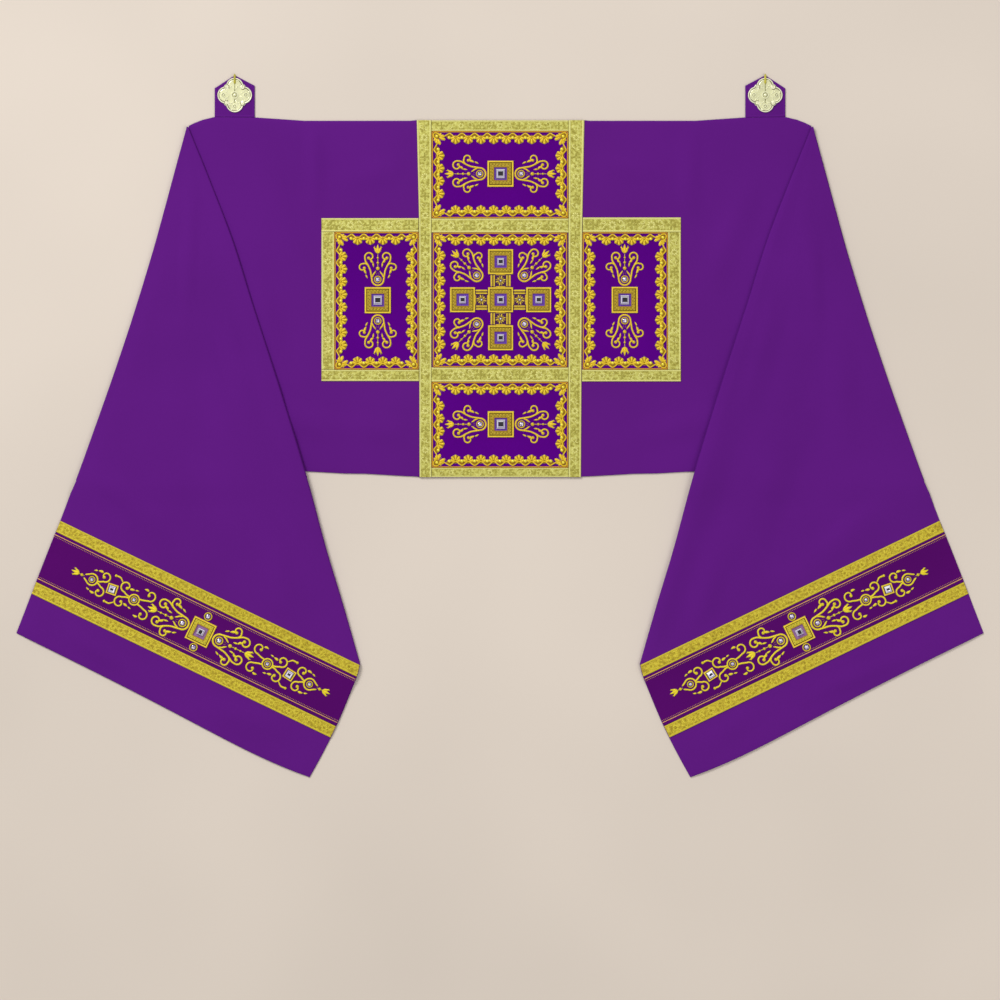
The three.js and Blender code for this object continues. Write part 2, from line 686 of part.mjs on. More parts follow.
function scallopedBorder({ left, right, top, bottom, fansAcross, fansDown }) {
  const width = right - left;
  const height = bottom - top;
  const inset = BORDER_INSET;
  const outline = new THREE.Shape([[inset, inset], [width - inset, inset], [width - inset, height - inset],
    [inset, height - inset]].map(([x, y]) => new THREE.Vector2(x, y)));
  const corners = [[0, 0], [width, 0], [width, height], [0, height]];
  const { cornerTip, cornerNotch, notch } = SCALLOP;
  const inner = [];
  corners.forEach(([x, y], index) => {
    const angle = (index * Math.PI) / 2;
    const [cos, sin] = [Math.round(Math.cos(angle)), Math.round(Math.sin(angle))];
    const length = index % 2 === 0 ? width : height;
    const fans = index % 2 === 0 ? fansAcross : fansDown;
    const side = [[cornerTip, cornerTip], [cornerNotch, notch], ...scallopedSide(length, fans),
      [length - cornerNotch, notch]];
    side.forEach(([along, inwards]) => {
      inner.push(new THREE.Vector2(x + along * cos - inwards * sin, y + along * sin + inwards * cos));
    });
  });
  outline.holes.push(new THREE.Path(inner.reverse()));
  const geometry = new THREE.ExtrudeGeometry(outline, { depth: BORDER, bevelEnabled: false });
  geometry.translate(left, -bottom, ON_PANEL);
  return closedBody(geometry);
}

// Square settings

function squareSetting(side) {
  const scale = side / SETTING.side;
  const half = (size) => (size / 2) * scale;
  const rimInner = SETTING.side - 2 * SETTING.rim;
  return turned([
    [0, 0],
    [half(SETTING.side), 0],
    [half(SETTING.side), SETTING_HEIGHT.edge],
    [half(SETTING.side - SETTING.chamfer), SETTING_HEIGHT.rim],
    [half(rimInner + SETTING.chamfer), SETTING_HEIGHT.rim],
    [half(rimInner), SETTING_HEIGHT.field],
    [half(SETTING.bed), SETTING_HEIGHT.field],
    [half(SETTING.bed - SETTING.chamfer), SETTING_HEIGHT.bed],
    [half(SETTING.stone), SETTING_HEIGHT.bed],
    [half(SETTING.stone), SETTING_HEIGHT.girdle],
    [half(SETTING.table), SETTING_HEIGHT.table],
    [0, SETTING_HEIGHT.table],
  ], 4);
}

const CROSS_ARMS = [
  { name: 'top', x: 0, y: 1 },
  { name: 'bottom', x: 0, y: -1 },
  { name: 'left', x: -1, y: 0 },
  { name: 'right', x: 1, y: 0 },
];

function jewelledCross() {
  const centre = { x: CROSS_CENTRE.across, y: -CROSS_CENTRE.down, z: ON_PANEL };
  add(veil, 'jewel_cross_centre', squareSetting(SETTING.side), material.gold, centre);
  const barLength = CROSS_PITCH - SETTING.side - 2 * GAP;
  CROSS_ARMS.forEach(({ name, x, y }) => {
    const jewel = { x: centre.x + x * CROSS_PITCH, y: centre.y + y * CROSS_PITCH, z: ON_PANEL };
    add(veil, `jewel_cross_${name}`, squareSetting(SETTING.side), material.gold, jewel);
    const bar = new THREE.BoxGeometry(x ? barLength : CROSS_BAR.width, y ? barLength : CROSS_BAR.width,
      CROSS_BAR.height);
    const place = {
      x: centre.x + (x * CROSS_PITCH) / 2,
      y: centre.y + (y * CROSS_PITCH) / 2,
      z: ON_PANEL + CROSS_BAR.height / 2,
    };
    add(veil, `cross_bar_${name}`, closedBody(bar), material.gold, place);
  });
}

// Everything in its place

function middle() {
  add(veil, 'ground_middle', middleStretch(), material.ground);
  PANELS.forEach((panel) => {
    add(veil, `panel_${panel.name}`, rectangle(panel, PANEL), material.panel);
    add(veil, `border_${panel.name}`, scallopedBorder(panel), material.gold);
  });
  BRAIDS_ACROSS.forEach((braid) => add(veil, braid.name, braidAcross(braid), material.braid));
  BRAIDS_DOWN.forEach((braid) => add(veil, braid.name, braidDown(braid), material.braid));
  UPRIGHT_BRAIDS.forEach((braid) => add(veil, braid.name, uprightBraid(braid), material.braid));
  jewelledCross();
  PANEL_SETTINGS.forEach(({ name, across, down }) => {
    const place = { x: across, y: -down, z: ON_PANEL };
    add(veil, `jewel_panel_${name}`, squareSetting(PANEL_SETTING_SIDE), material.gold, place);
  });
}

function tabsAndClasps() {
  const tab = tabCloth();
  const clasp = claspMetal();
  const place = { x: CLASP.across, y: -CLASP.down, z: ON_CLOTH };
  add(veil, 'tab_left', tab, material.ground);
  add(veil, 'tab_right', mirrored(tab), material.ground);
  add(veil, 'clasp_left', clasp, material.clasp, { ...place, x: -place.x });
  add(veil, 'clasp_right', mirrored(clasp), material.clasp, place);
}

function foldedEnd(side, name) {
  const end = new THREE.Group();
  end.position.set(side * APEX.across, -APEX.down, 0);
  end.rotation.z = side * END_TURN;
  veil.add(end);
  const front = frontGrid();
  const asSide = (geometry) => (side < 0 ? geometry : mirrored(geometry));
  add(end, `end_front_${name}`, asSide(wall(front)), material.ground);
  add(end, `end_folded_${name}`, asSide(wall(hiddenGrid())), material.ground);
  add(end, `band_${name}`, asSide(bandCloth(front)), material.band);
  add(end, `band_braid_upper_${name}`, asSide(bandBraid(front, UPPER_BRAID)), material.braid);
  add(end, `band_braid_lower_${name}`, asSide(bandBraid(front, LOWER_BRAID)), material.braid);
  const middleOfBand = -side * BAND_SETTING.across;
  const place = (out, turn) => ({ x: middleOfBand - side * out, y: -BAND_SETTING.down, z: ON_PANEL, turn });
  add(end, `jewel_band_${name}`, squareSetting(BAND_SETTING.side), material.gold, place(0, 0));
  const turn = side * BAND_SMALL_SETTING_TURN;
  const small = squareSetting(SMALL_SETTING_SIDE);
  add(end, `jewel_small_outer_${name}`, small, material.gold, place(-BAND_SMALL_SETTING_OUT, turn));
  add(end, `jewel_small_inner_${name}`, small.clone(), material.gold, place(BAND_SMALL_SETTING_OUT, -turn));
}

middle();
tabsAndClasps();
foldedEnd(-1, 'left');
foldedEnd(1, 'right');

// The origin is the middle of the underside of the garment's box.
veil.updateMatrixWorld(true);
const reach = new THREE.Box3().setFromObject(veil, true);
veil.position.y = -(reach.min.y + reach.max.y) / 2;

export default veil;
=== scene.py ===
"""Humeral veil laid flat: violet cloth with folded ends, embroidered panels, woven braid and clasps.

Sizes in the tables are millimetres. "Across" is measured from the middle line, and "down" from the top edge.
"""

import math

import bmesh
import bpy
from mathutils import Matrix, Vector, noise


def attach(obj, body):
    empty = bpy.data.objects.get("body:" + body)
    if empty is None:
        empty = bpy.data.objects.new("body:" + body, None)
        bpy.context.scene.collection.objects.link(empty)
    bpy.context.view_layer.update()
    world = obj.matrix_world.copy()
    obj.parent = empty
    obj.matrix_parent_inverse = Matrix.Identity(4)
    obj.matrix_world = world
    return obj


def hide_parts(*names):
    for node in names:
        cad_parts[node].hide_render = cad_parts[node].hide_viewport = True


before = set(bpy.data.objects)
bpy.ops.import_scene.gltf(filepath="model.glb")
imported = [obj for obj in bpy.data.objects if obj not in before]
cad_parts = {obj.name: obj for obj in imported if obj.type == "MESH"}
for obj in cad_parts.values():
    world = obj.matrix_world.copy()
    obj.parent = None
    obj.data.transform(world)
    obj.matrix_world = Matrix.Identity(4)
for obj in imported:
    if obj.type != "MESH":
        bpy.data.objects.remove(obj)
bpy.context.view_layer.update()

bl_info = {
    "name": "Humeral veil",
    "version": (1, 0, 0),
    "blender": (4, 5, 0),
    "location": "3D Viewport > Sidebar > Veil",
    "description": "Builds a laid-out humeral veil with its embroidery, braid and clasps",
    "category": "Object",
}

MM = 0.001

# Heights of the layers
CLOTH = 2.0
PANEL_TOP = 3.5
ON_CLOTH = 2.15
BAND_FACE = 1.45
BAND_MIDDLE = 0.88
BAND_HALF = 0.62
BRAID_RISE = 1.85
THREAD_FOOT = 3.45
LAYER = 2.3
SEAM = 0.15

SIDES = ((-1, "left"), (1, "right"))


def table(columns, *rows):
    """A list of rows, each a dict of the named columns."""
    return [dict(zip(columns.split(), row)) for row in rows]


# Edges of the middle stretch of the ground cloth
TOP_EDGE = table(
    "across down",
    (0, -1), (141, -1), (151, 0), (328, 0), (378, -3.4), (412.2, -5.7), (479.3, -6.5), (499.2, -1.7), (512.6, 3.4),
    (522.4, 8.2))
BOTTOM_EDGE = table(
    "across down",
    (0, 599), (135.8, 599), (137.8, 597.8), (160, 596.9), (200, 594.6), (225, 593.1), (262, 592.6), (300, 590.4),
    (330, 589), (704, 595))

# Folded ends, which turn about one point on each side
APEX_ACROSS = 526.1
APEX_DOWN = 10.1
END_TURN = math.radians(25.7)
END_COS, END_SIN = math.cos(END_TURN), math.sin(END_TURN)
ORIGIN_DOWN = 511.9835
FOOT_DOWN = 605.7
CORNER_DOWN = 686.9
CROSSING_DOWN = 435.8
HIDDEN_FOOT_DOWN = 616
FOLDED_PART = table(
    "down outer inner lift roll",
    (0, 0, 3.4, 0, 0), (63.5, 11.7, 73.4, 0.5, 0.3), (137.6, 25.6, 152, 1.2, 0.8), (214.6, 39.5, 224.5, 1.8, 1.2),
    (329.8, 57.1, 334.1, 2.8, 1.8), (435.8, 70.5, 431.6, 3.5, 2.2), (538.5, 81.7, 520.3, 3.4, 2),
    (605.7, 88.6, 581.8, 2.6, 1.6), (686.9, 95.2, 654, 1, 0.8))
STRAIGHT_PART = table(
    "down outer inner lift roll",
    (686.9, 95.2, 654, 1, 0.8), (703, 96.2, 657.8, 0.6, 0.5), (728, 97.8, 659.6, 0, 0), (789.9, 102.4, 662.9, 0, 0),
    (840, 106.7, 662.6, 0, 0), (891, 110.8, 659.8, 0, 0))
AT_APEX = {"outer": 0, "inner": 0}
MIDDLE_EDGE = {"outer": FOOT_DOWN, "inner": CROSSING_DOWN}
HIDDEN_EDGE = {"outer": HIDDEN_FOOT_DOWN, "inner": CORNER_DOWN}
UPPER_BRAID = {"top": 688.2, "bottom": 708.6}
LOWER_BRAID = {"top": 798.5, "bottom": 820}
BRAID_TOP = {"outer": UPPER_BRAID["top"], "inner": UPPER_BRAID["top"]}
HEM_DOWN = 890.8
HEM_SLANT = 4.5
HEM_BOW = 6
FOLD_HEEL = 3
NARROW = 16
LIFT_REACH = 60
LIFT_GAIN = 1.5
SHOULDER_RISE = 1.1
SHOULDER_REACH = 16
ROLL_PLACE = 105
ROLL_REACH = 48
FULL_SPREAD_WIDTH = 230
EDGE_IN_FROM_FOLD = 1.5
BRIDGE = 14
SLOPE = 45
EDGE_ROUND = 0.9
THIN_SHARE = 0.3

# Soft creases, each a low ridge: its middle, the way that it runs, half its length, half its width and its rise
MIDDLE_CREASES = table(
    "across down turn length width rise",
    (-312, 75, 88, 130, 22, 2.3), (-372, 150, 62, 120, 40, 2.0), (-395, 330, 74, 170, 34, 2.4),
    (-342, 500, 20, 120, 38, 2.2), (-200, 520, 8, 90, 30, 1.4), (-215, 90, -12, 80, 34, 1.5),
    (318, 95, 92, 120, 26, 2.0), (388, 190, 112, 150, 36, 2.3), (420, 400, 98, 140, 40, 2.0),
    (300, 515, -14, 130, 34, 1.9), (215, 80, 10, 70, 28, 1.2))
LEFT_FRONT_CREASES = table(
    "across down turn length width rise",
    (255, 330, 48, 210, 30, 2.2), (170, 380, 60, 190, 44, 1.6), (350, 560, 38, 170, 46, 2.4),
    (185, 610, 18, 120, 34, 2.0), (480, 640, 55, 110, 38, 1.7), (95, 190, 66, 150, 20, 1.4),
    (255, 858, 4, 120, 24, 1.5), (520, 850, -8, 110, 30, 1.8))
RIGHT_FRONT_CREASES = table(
    "across down turn length width rise",
    (240, 300, 50, 190, 34, 2.0), (150, 420, 66, 170, 38, 1.8), (330, 520, 44, 190, 40, 2.2),
    (240, 640, 14, 140, 36, 1.9), (500, 620, 62, 120, 34, 1.6), (110, 230, 68, 140, 22, 1.3),
    (330, 862, -5, 140, 22, 1.6), (560, 846, 10, 90, 28, 1.5))
FRONT_CREASES = {-1: LEFT_FRONT_CREASES, 1: RIGHT_FRONT_CREASES}
UNEVEN_REACH = 95
UNEVEN_RISE = 0.5

# Where the cloth may crease, each as the two ends of a soft step. The middle is held flat by what is sewn on it.
PAST_SIDE_PANELS = (300, 330)
BELOW_SIDE_PANELS = (445, 470)
ABOVE_SIDE_PANELS = (-155, -130)
PAST_UPRIGHT_BRAID = (145, 175)
ABOVE_BAND = (655, 688)
BELOW_BAND = (820, 832)
ABOVE_HEM = (872, 890)
CREASE_FADE = 30
FOLD_FADE = 50
UNDER_END_FADE = 60

# How finely the cloth is cut
STATION_STEP = 9.0
MIDDLE_ROWS = 66
FRONT_COLUMNS = 62
FOLDED_COLUMNS = 40
NOSE_THIN = 0.12

# Tabs and clasps
TAB_UNDER_EDGE = 0.3
TAB_LOW = 0.1
TAB_TURNED_EDGE = ((4.0, 0), (0.7, -0.35), (0.9, 0.3))
TAB = {"outer": 479.3, "inner": 412.2, "point": 445.6, "outer_top": -54.6, "inner_top": -59, "tip": -76.5}
CLASP = {"across": 445.5, "down": -42.9, "lobe": 14.8, "lobe_out": 14.5}

# Panels of the middle, with the number of fans along each side
PANELS = table(
    "name left right top bottom across down",
    ("centre", -113, 113, 188.2, 414.2, 8, 8), ("top", -114.7, 114.7, 17.8, 163.9, 8, 4),
    ("bottom", -114.7, 114.7, 438.9, 582.7, 8, 4), ("left", -278, -136.5, 187.1, 418, 4, 8),
    ("right", 138.8, 282, 187.6, 418, 4, 8))
FAN_PITCH = 21.3
PANEL_RIM = [0, 0.3, 0.9, 2.5]
PANEL_UNEVEN = 0.12

# Braid of the middle, each length from its start to its end along a line, with its two widths beside that line
BRAIDS = table(
    "name left right top bottom",
    ("braid_across_top", -115, 115, -0.8, 17.8), ("braid_across_upper", -115, 115, 163.9, 188.2),
    ("braid_across_lower", -115, 115, 414.2, 438.9), ("braid_across_bottom", -115, 115, 582.7, 598.8),
    ("braid_left_top", -300, -136.6, 163.5, 187.1), ("braid_left_bottom", -300, -136, 418, 437.6),
    ("braid_right_top", 139, 303.9, 162.3, 187.6), ("braid_right_bottom", 137.5, 303.9, 418, 438.2),
    ("braid_left_outer", -300, -278, 187.1, 418), ("braid_right_outer", 282, 303.9, 187.6, 418))
UPRIGHT_BRAIDS = table(
    "name side inner outer",
    ("braid_upright_left", -1, 115, [140, 136.2, 135.3]), ("braid_upright_right", 1, 115, [142, 138.6, 136.1]))
UPRIGHT_DOWN = [-0.8, 163, 598.8]

# Settings
CROSS_PITCH = 63.9
CROSS_CENTRE = (1, 300.9)
CROSS_SIDE = 42
PANEL_SETTING_SIDE = 44
PANEL_SETTINGS = table(
    "name across down turns",
    ("top", 0.8, 89.4, (90, -90)), ("bottom", 1.3, 509.9, (90, -90)), ("left", -205.2, 301.7, (0, 180)),
    ("right", 209.4, 301.2, (0, 180)))
BAND_CENTRE = (389.4, 754.2)
BAND_SETTING_SIDE = 41
BAND_RIM = [0, 0.4, 1.0, 1.7, 2.5]
SMALL_SETTING_OUT = 165
SPRAY_OUT = 34.3
KNOT_OUT = 124.2
FINIAL_OUT = 202.7
RING_ASIDE = 28.6
PANEL_STONE_SIZE = 1.2
PANEL_SPRAY_OUT = 34.8
CROSS_SPRAY_OUT = (39.9, 40.8)
SMALL_SETTING_SIDE = 18
BAR_LENGTH = 21.3
BAR_WIDTH = 34
SMALL_SETTING_TURN = math.radians(7)


# Values and slopes of the tables


def lerp(start, end, share):
    return start + (end - start) * share


def smoothstep(value, low, high):
    share = min(max((value - low) / (high - low), 0), 1)
    return share * share * (3 - 2 * share)


def row_before(rows, key, at):
    index = 0
    while index < len(rows) - 2 and rows[index + 1][key] <= at:
        index += 1
    return index


def slope_at(rows, column, index):
    before = rows[max(index - 1, 0)]
    after = rows[min(index + 1, len(rows) - 1)]
    return (after[column] - before[column]) / (after["down"] - before["down"])


def smooth_value(rows, column, down):
    """A smooth curve through the rows of a table."""
    index = row_before(rows, "down", down)
    start, end = rows[index], rows[index + 1]
    span = end["down"] - start["down"]
    t = (down - start["down"]) / span
    start_slope = slope_at(rows, column, index) * span
    end_slope = slope_at(rows, column, index + 1) * span
    start_part = start[column] * (2 * t**3 - 3 * t**2 + 1) + start_slope * (t**3 - 2 * t**2 + t)
    return start_part + end[column] * (3 * t**2 - 2 * t**3) + end_slope * (t**3 - t**2)


def edge_down(rows, across):
    """A straight line between the rows of an edge table."""
    index = row_before(rows, "across", across)
    start, end = rows[index], rows[index + 1]
    return lerp(start["down"], end["down"], (across - start["across"]) / (end["across"] - start["across"]))


def end_value(column, down):
    return smooth_value(FOLDED_PART if down <= CORNER_DOWN else STRAIGHT_PART, column, down)


def bump(distance, reach):
    """Rises from 0 to 1 and back over one reach to each side."""
    return 0.5 + 0.5 * math.cos(math.pi * min(abs(distance) / reach, 1))


def held(past_edge):
    """1 up to the bridge past an edge, then down to 0 at the foot of the slope."""
    return 1 - smoothstep(past_edge, BRIDGE, BRIDGE + SLOPE)


def past_line(line, across, down):
    """How far a point of an end lies below one of its lines."""
    foot_x, foot_down = end_value("outer", line["outer"]), line["outer"]
    run, fall = end_value("inner", line["inner"]) - foot_x, line["inner"] - foot_down
    return (run * (down - foot_down) - fall * (across - foot_x)) / math.hypot(run, fall)


def creases(rows, across, down, strength):
    """Height of the soft creases at a point."""
    total = UNEVEN_RISE * (0.5 + noise.noise(Vector((across, down, 0)) / UNEVEN_REACH))
    for row in rows:
        turn = math.radians(row["turn"])
        off_across, off_down = across - row["across"], down - row["down"]
        along = off_across * math.cos(turn) + off_down * math.sin(turn)
        aside = off_down * math.cos(turn) - off_across * math.sin(turn)
        total += row["rise"] * bump(along, row["length"]) * bump(aside, row["width"])
    return max(total, 0) * strength


def to_world(across, down):
    return across, ORIGIN_DOWN - down


def end_to_world(side, across, down):
    """A point of a folded end, in the end's own measures, to where it lies."""
    x = across * END_COS - down * END_SIN - APEX_ACROSS
    y = -across * END_SIN - down * END_COS - APEX_DOWN + ORIGIN_DOWN
    return (x if side < 0 else -x), y


def rounded(distance):
    """Share of the thickness at a distance from a sewn edge."""
    t = 1 - min(max(distance, 0) / EDGE_ROUND, 1)
    return THIN_SHARE + (1 - THIN_SHARE) * math.sqrt(1 - t * t)


# Meshes


def new_drawing():
    bm = bmesh.new()
    bm.loops.layers.uv.verify()
    return bm


def finish_piece(name, bm, look, nodes=(), sharp=40):
    """Makes an object of a mesh drawn in millimetres, gives it its finishes, and hides the parts of the model that it
    stands for.
    """
    bmesh.ops.recalc_face_normals(bm, faces=bm.faces)
    bmesh.ops.scale(bm, vec=(MM, MM, MM), verts=bm.verts)
    mesh = bpy.data.meshes.new(name)
    bm.to_mesh(mesh)
    bm.free()
    mesh.shade_smooth()
    mesh.set_sharp_from_angle(angle=math.radians(sharp))
    for finish in look:
        mesh.materials.append(finishes()[finish])
    piece = bpy.data.objects.new(name, mesh)
    bpy.context.scene.collection.objects.link(piece)
    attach(piece, "root")
    if nodes:
        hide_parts(*nodes)
    return piece


def add_shell(bm, rows, columns, point):
    """Adds a closed shell to bm. point(row, column) gives x, y, top, under and the cloth's own two measures."""
    grid = bmesh.ops.create_grid(bm, x_segments=columns, y_segments=rows, size=1)
    faces = {face for vert in grid["verts"] for face in vert.link_faces}
    before = set(bm.verts)
    solid = bmesh.ops.solidify(bm, geom=list(faces), thickness=0.1)
    verts = set(grid["verts"]) | (set(bm.verts) - before)
    faces |= {item for item in solid["geom"] if isinstance(item, bmesh.types.BMFace)}
    weave = bm.loops.layers.uv.verify()
    measures = {}
    for vert in verts:
        column = round((vert.co.x + 1) / 2 * columns)
        row = round((vert.co.y + 1) / 2 * rows)
        x, y, top, under, u, v = point(row, column)
        vert.co = (x, y, top if vert.co.z > -0.05 else under)
        measures[vert] = (u * MM, v * MM)
    for face in {face for vert in verts for face in vert.link_faces}:
        for loop in face.loops:
            loop[weave].uv = measures[loop.vert]


def even_between(start, end, count):
    """Even places between two ends, without the ends."""
    return [lerp(start, end, step / count) for step in range(1, count)]


def rimmed(length, rim, count):
    """Places along a length: close together near its ends, as the rim says, and even between."""
    return rim + even_between(rim[-1], length - rim[-1], count) + [length - place for place in reversed(rim)]


def line(start, end, steps):
    return [(lerp(start[0], end[0], step / steps), lerp(start[1], end[1], step / steps)) for step in range(steps + 1)]


def ray(turn, reaches, length=1.0):
    """Points of a straight line from the origin, turned from +X."""
    angle = math.radians(turn)
    return [(length * reach * math.cos(angle), length * reach * math.sin(angle)) for reach in reaches]


def smooth_path(points, steps=6, closed=False):
    """A smooth curve through a few points."""
    count = len(points)
    path = []
    last = count if closed else count - 1
    for index in range(last):
        ends = [(index - 1) % count, index, (index + 1) % count, (index + 2) % count]
        if not closed:
            ends = [max(index - 1, 0), index, index + 1, min(index + 2, count - 1)]
        a, b, c, d = (Vector(points[end]) for end in ends)
        for step in range(steps):
            t = step / steps
            path.append(0.5 * (2 * b + (c - a) * t + (2 * a - 5 * b + 4 * c - d) * t * t
                               + (3 * b - 3 * c + d - a) * t**3))
    path.append(Vector(points[0] if closed else points[-1]))
    return path


def arc(centre, radius, start, sweep, end_radius=None, steps=16):
    """Points of an arc, or of a curl whose radius changes."""
    points = []
    for step in range(steps + 1):
        share = step / steps
        angle = math.radians(start + sweep * share)
        reach = lerp(radius, radius if end_radius is None else end_radius, share)
        points.append((centre[0] + reach * math.cos(angle), centre[1] + reach * math.sin(angle)))
    return points


def bend(start, pull, push, end, steps=8):
    """A curve from start to end, without its last point."""
    points = []
    for step in range(steps):
        t = step / steps
        parts = ((1 - t) ** 3, 3 * t * (1 - t) ** 2, 3 * t * t * (1 - t), t**3)
        points.append(tuple(sum(part * point[axis] for part, point in zip(parts, (start, pull, push, end)))
                            for axis in (0, 1)))
    return points


def add_thread(bm, path, half_width, height=1.0, around=8, foot=0.0, material=0):
    """Adds a closed, domed line of thread to bm. half_width is a number, or a function of the share of the way."""
    points = [Vector((p[0], p[1])) for p in path]
    count = len(points) - 1
    loop = (points[0] - points[-1]).length < 1e-6
    lengths = [0.0]
    for here, there in zip(points, points[1:]):
        lengths.append(lengths[-1] + (there - here).length)
    total = lengths[-1]
    grid = bmesh.ops.create_grid(bm, x_segments=count, y_segments=around, size=1)
    weave = bm.loops.layers.uv.verify()
    faces = {face for vert in grid["verts"] for face in vert.link_faces}
    measures = {}
    for vert in grid["verts"]:
        index = round((vert.co.x + 1) / 2 * count)
        turn = round((vert.co.y + 1) / 2 * around)
        if loop:
            before, after = points[(index - 1) % count], points[(index + 1) % count]
        else:
            before, after = points[max(index - 1, 0)], points[min(index + 1, count)]
        way = (after - before).normalized()
        aside = Vector((-way.y, way.x))
        share = lengths[index] / total
        wide = half_width(share) if callable(half_width) else half_width
        if not loop and index in (0, count):
            wide = 0
        rise = height * min(1, wide / 0.8) if wide < 0.8 else height
        angle = 2 * math.pi * (turn % around) / around
        place = points[index] + aside * wide * math.cos(angle)
        lift = math.sin(angle)
        vert.co = (place.x, place.y, foot + rise * (lift if lift > 0 else 0.3 * lift))
        measures[vert] = (lengths[index] * MM, turn / around)
    for face in faces:
        face.material_index = material
        for corner in face.loops:
            corner[weave].uv = measures[corner.vert]
    bmesh.ops.remove_doubles(bm, verts=grid["verts"], dist=1e-4)


def even_shares(count):
    return [step / count for step in range(1, count + 1)]


def blunt_shares(count, tip):
    """Even shares of a line, with a short step at each end so that its thread ends bluntly."""
    return [0, tip, *even_shares(count)[:-1], 1 - tip, 1]


def tapered(wide, start=0.35, end=0.2, peak=0.5):
    """Half widths of a leaf: its widest is at the peak."""
    def half_width(share):
        if share < peak:
            return lerp(start, wide, math.sin(math.pi / 2 * share / peak))
        return lerp(end, wide, math.cos(math.pi / 2 * (share - peak) / (1 - peak)))
    return half_width


def add_bead(bm, centre, radius, height=None, foot=0.0, material=0, rounds=1):
    """Adds a round bead that is pressed a little flat."""
    bead = bmesh.ops.create_icosphere(bm, subdivisions=rounds, radius=radius)
    squash = (height or radius) / radius
    bmesh.ops.scale(bm, vec=(1, 1, squash), verts=bead["verts"])
    bmesh.ops.translate(bm, vec=(centre[0], centre[1], foot + 0.35 * radius * squash), verts=bead["verts"])
    for face in {face for vert in bead["verts"] for face in vert.link_faces}:
        face.material_index = material


def stamp(bm, template, place=None, surface=None, mirror=False):
    """Adds a copy of a template to bm, placed, and laid on a surface whose height is a function of x and y."""
    start = len(bm.verts)
    faces_before = len(bm.faces)
    bm.from_mesh(template)
    bm.verts.ensure_lookup_table()
    bm.faces.ensure_lookup_table()
    verts = bm.verts[start:]
    if mirror:
        bmesh.ops.scale(bm, vec=(-1, 1, 1), verts=verts)
        bmesh.ops.reverse_faces(bm, faces=bm.faces[faces_before:])
    if place is not None:
        bmesh.ops.transform(bm, matrix=place, verts=verts)
    if surface is not None:
        for vert in verts:
            vert.co.z += surface(vert.co.x, vert.co.y)


def template_mesh(draw):
    """A mesh in millimetres that a drawing function fills."""
    bm = new_drawing()
    draw(bm)
    mesh = bpy.data.meshes.new(draw.__name__)
    bm.to_mesh(mesh)
    bm.free()
    return mesh


def placed(across, down, turn=0.0, height=THREAD_FOOT):
    """Where a template goes on the middle stretch, turned anticlockwise."""
    x, y = to_world(across, down)
    return Matrix.Translation((x, y, height)) @ Matrix.Rotation(turn, 4, "Z")


# Finishes


class Finish:
    """A material under construction. An input takes a value or another node's output."""

    def __init__(self, name):
        self.material = bpy.data.materials.new(name)
        self.material.use_nodes = True
        self.nodes = self.material.node_tree.nodes
        place = self.nodes.new("ShaderNodeTexCoord")
        self.place, self.along = place.outputs["Object"], place.outputs["UV"]

    def fill(self, node, inputs):
        for name, value in inputs.items():
            if isinstance(value, bpy.types.NodeSocket):
                self.material.node_tree.links.new(value, node.inputs[name])
            else:
                node.inputs[name].default_value = value

    def add(self, kind, output, inputs, **settings):
        """Adds a node and gives its output."""
        node = self.nodes.new("ShaderNode" + kind)
        for name, value in settings.items():
            setattr(node, name, value)
        self.fill(node, inputs)
        return node.outputs[output]

    def noise(self, scale, detail=2.0):
        return self.add("TexNoise", "Fac", {"Vector": self.place, "Scale": scale, "Detail": detail})

    def threads(self, pitch, direction, crook):
        """Bands one pitch apart, in metres."""
        scale = math.pi / 10 / pitch
        return self.add("TexWave", "Fac", {"Vector": self.along, "Scale": scale, "Distortion": crook},
                        bands_direction=direction)

    def combine(self, operation, first, second):
        return self.add("Math", "Value", {0: first, 1: second}, operation=operation)

    def done(self, stops, tone, relief, strength, depth, inputs):
        """Colours the tone by the stops, adds the relief as a bump, and sets the other inputs."""
        ramp = self.nodes.new("ShaderNodeValToRGB")
        elements = ramp.color_ramp.elements
        while len(elements) < len(stops):
            elements.new(0.5)
        for element, (place, colour) in zip(elements, stops):
            element.position = place
            element.color = (*colour, 1)
        self.fill(ramp, {"Fac": tone})
        normal = self.add("Bump", "Normal", {"Height": relief, "Strength": strength, "Distance": depth})
        self.fill(self.nodes["Principled BSDF"], {"Base Color": ramp.outputs["Color"], "Normal": normal, **inputs})
        return self.material


def shaded(colour, factor):
    return tuple(channel * factor for channel in colour[:3])


def toned(colour, variation, low, high):
    """Stops from a little darker than a colour to a little lighter."""
    return [(low, shaded(colour, 1 - variation)), (high, shaded(colour, 1 + variation))]


SHEEN_TINT = (0.7, 0.25, 0.95, 1)


def woven_finish(name, colour, pitch, roughness, sheen, variation):
    """A plain weave of crossing threads, with slow changes of tone."""
    finish = Finish(name)
    tone = finish.combine("ADD", finish.noise(5.0), finish.combine("MULTIPLY", finish.noise(420.0), 0.5))
    weave = finish.combine("MAXIMUM", finish.threads(pitch, "X", 0.4), finish.threads(pitch * 1.2, "Y", 0.4))
    return finish.done(toned(colour, variation, 0.45, 1.05), tone, weave, 0.25, pitch * 0.3, {
        "Roughness": roughness, "Sheen Weight": sheen, "Sheen Roughness": 0.45,
        "Sheen Tint": SHEEN_TINT, "Specular IOR Level": 0.03})


def thread_finish(name, colour, dark, pitch, metallic, roughness):
    """Metal thread laid side by side across each stroke. Its dark colour is painted shade in the troughs between the
    threads, mixed with random tone.
    """
    finish = Finish(name)
    lay = finish.threads(pitch, "X", 0.8)
    tone = finish.combine("ADD", finish.combine("MULTIPLY", lay, 0.45),
                          finish.combine("MULTIPLY", finish.noise(500.0), 0.6))
    return finish.done([(0.15, dark), (0.6, colour)], tone, lay, 0.4, pitch * 0.3, {
        "Metallic": metallic, "Roughness": roughness, "Specular IOR Level": 0.25})


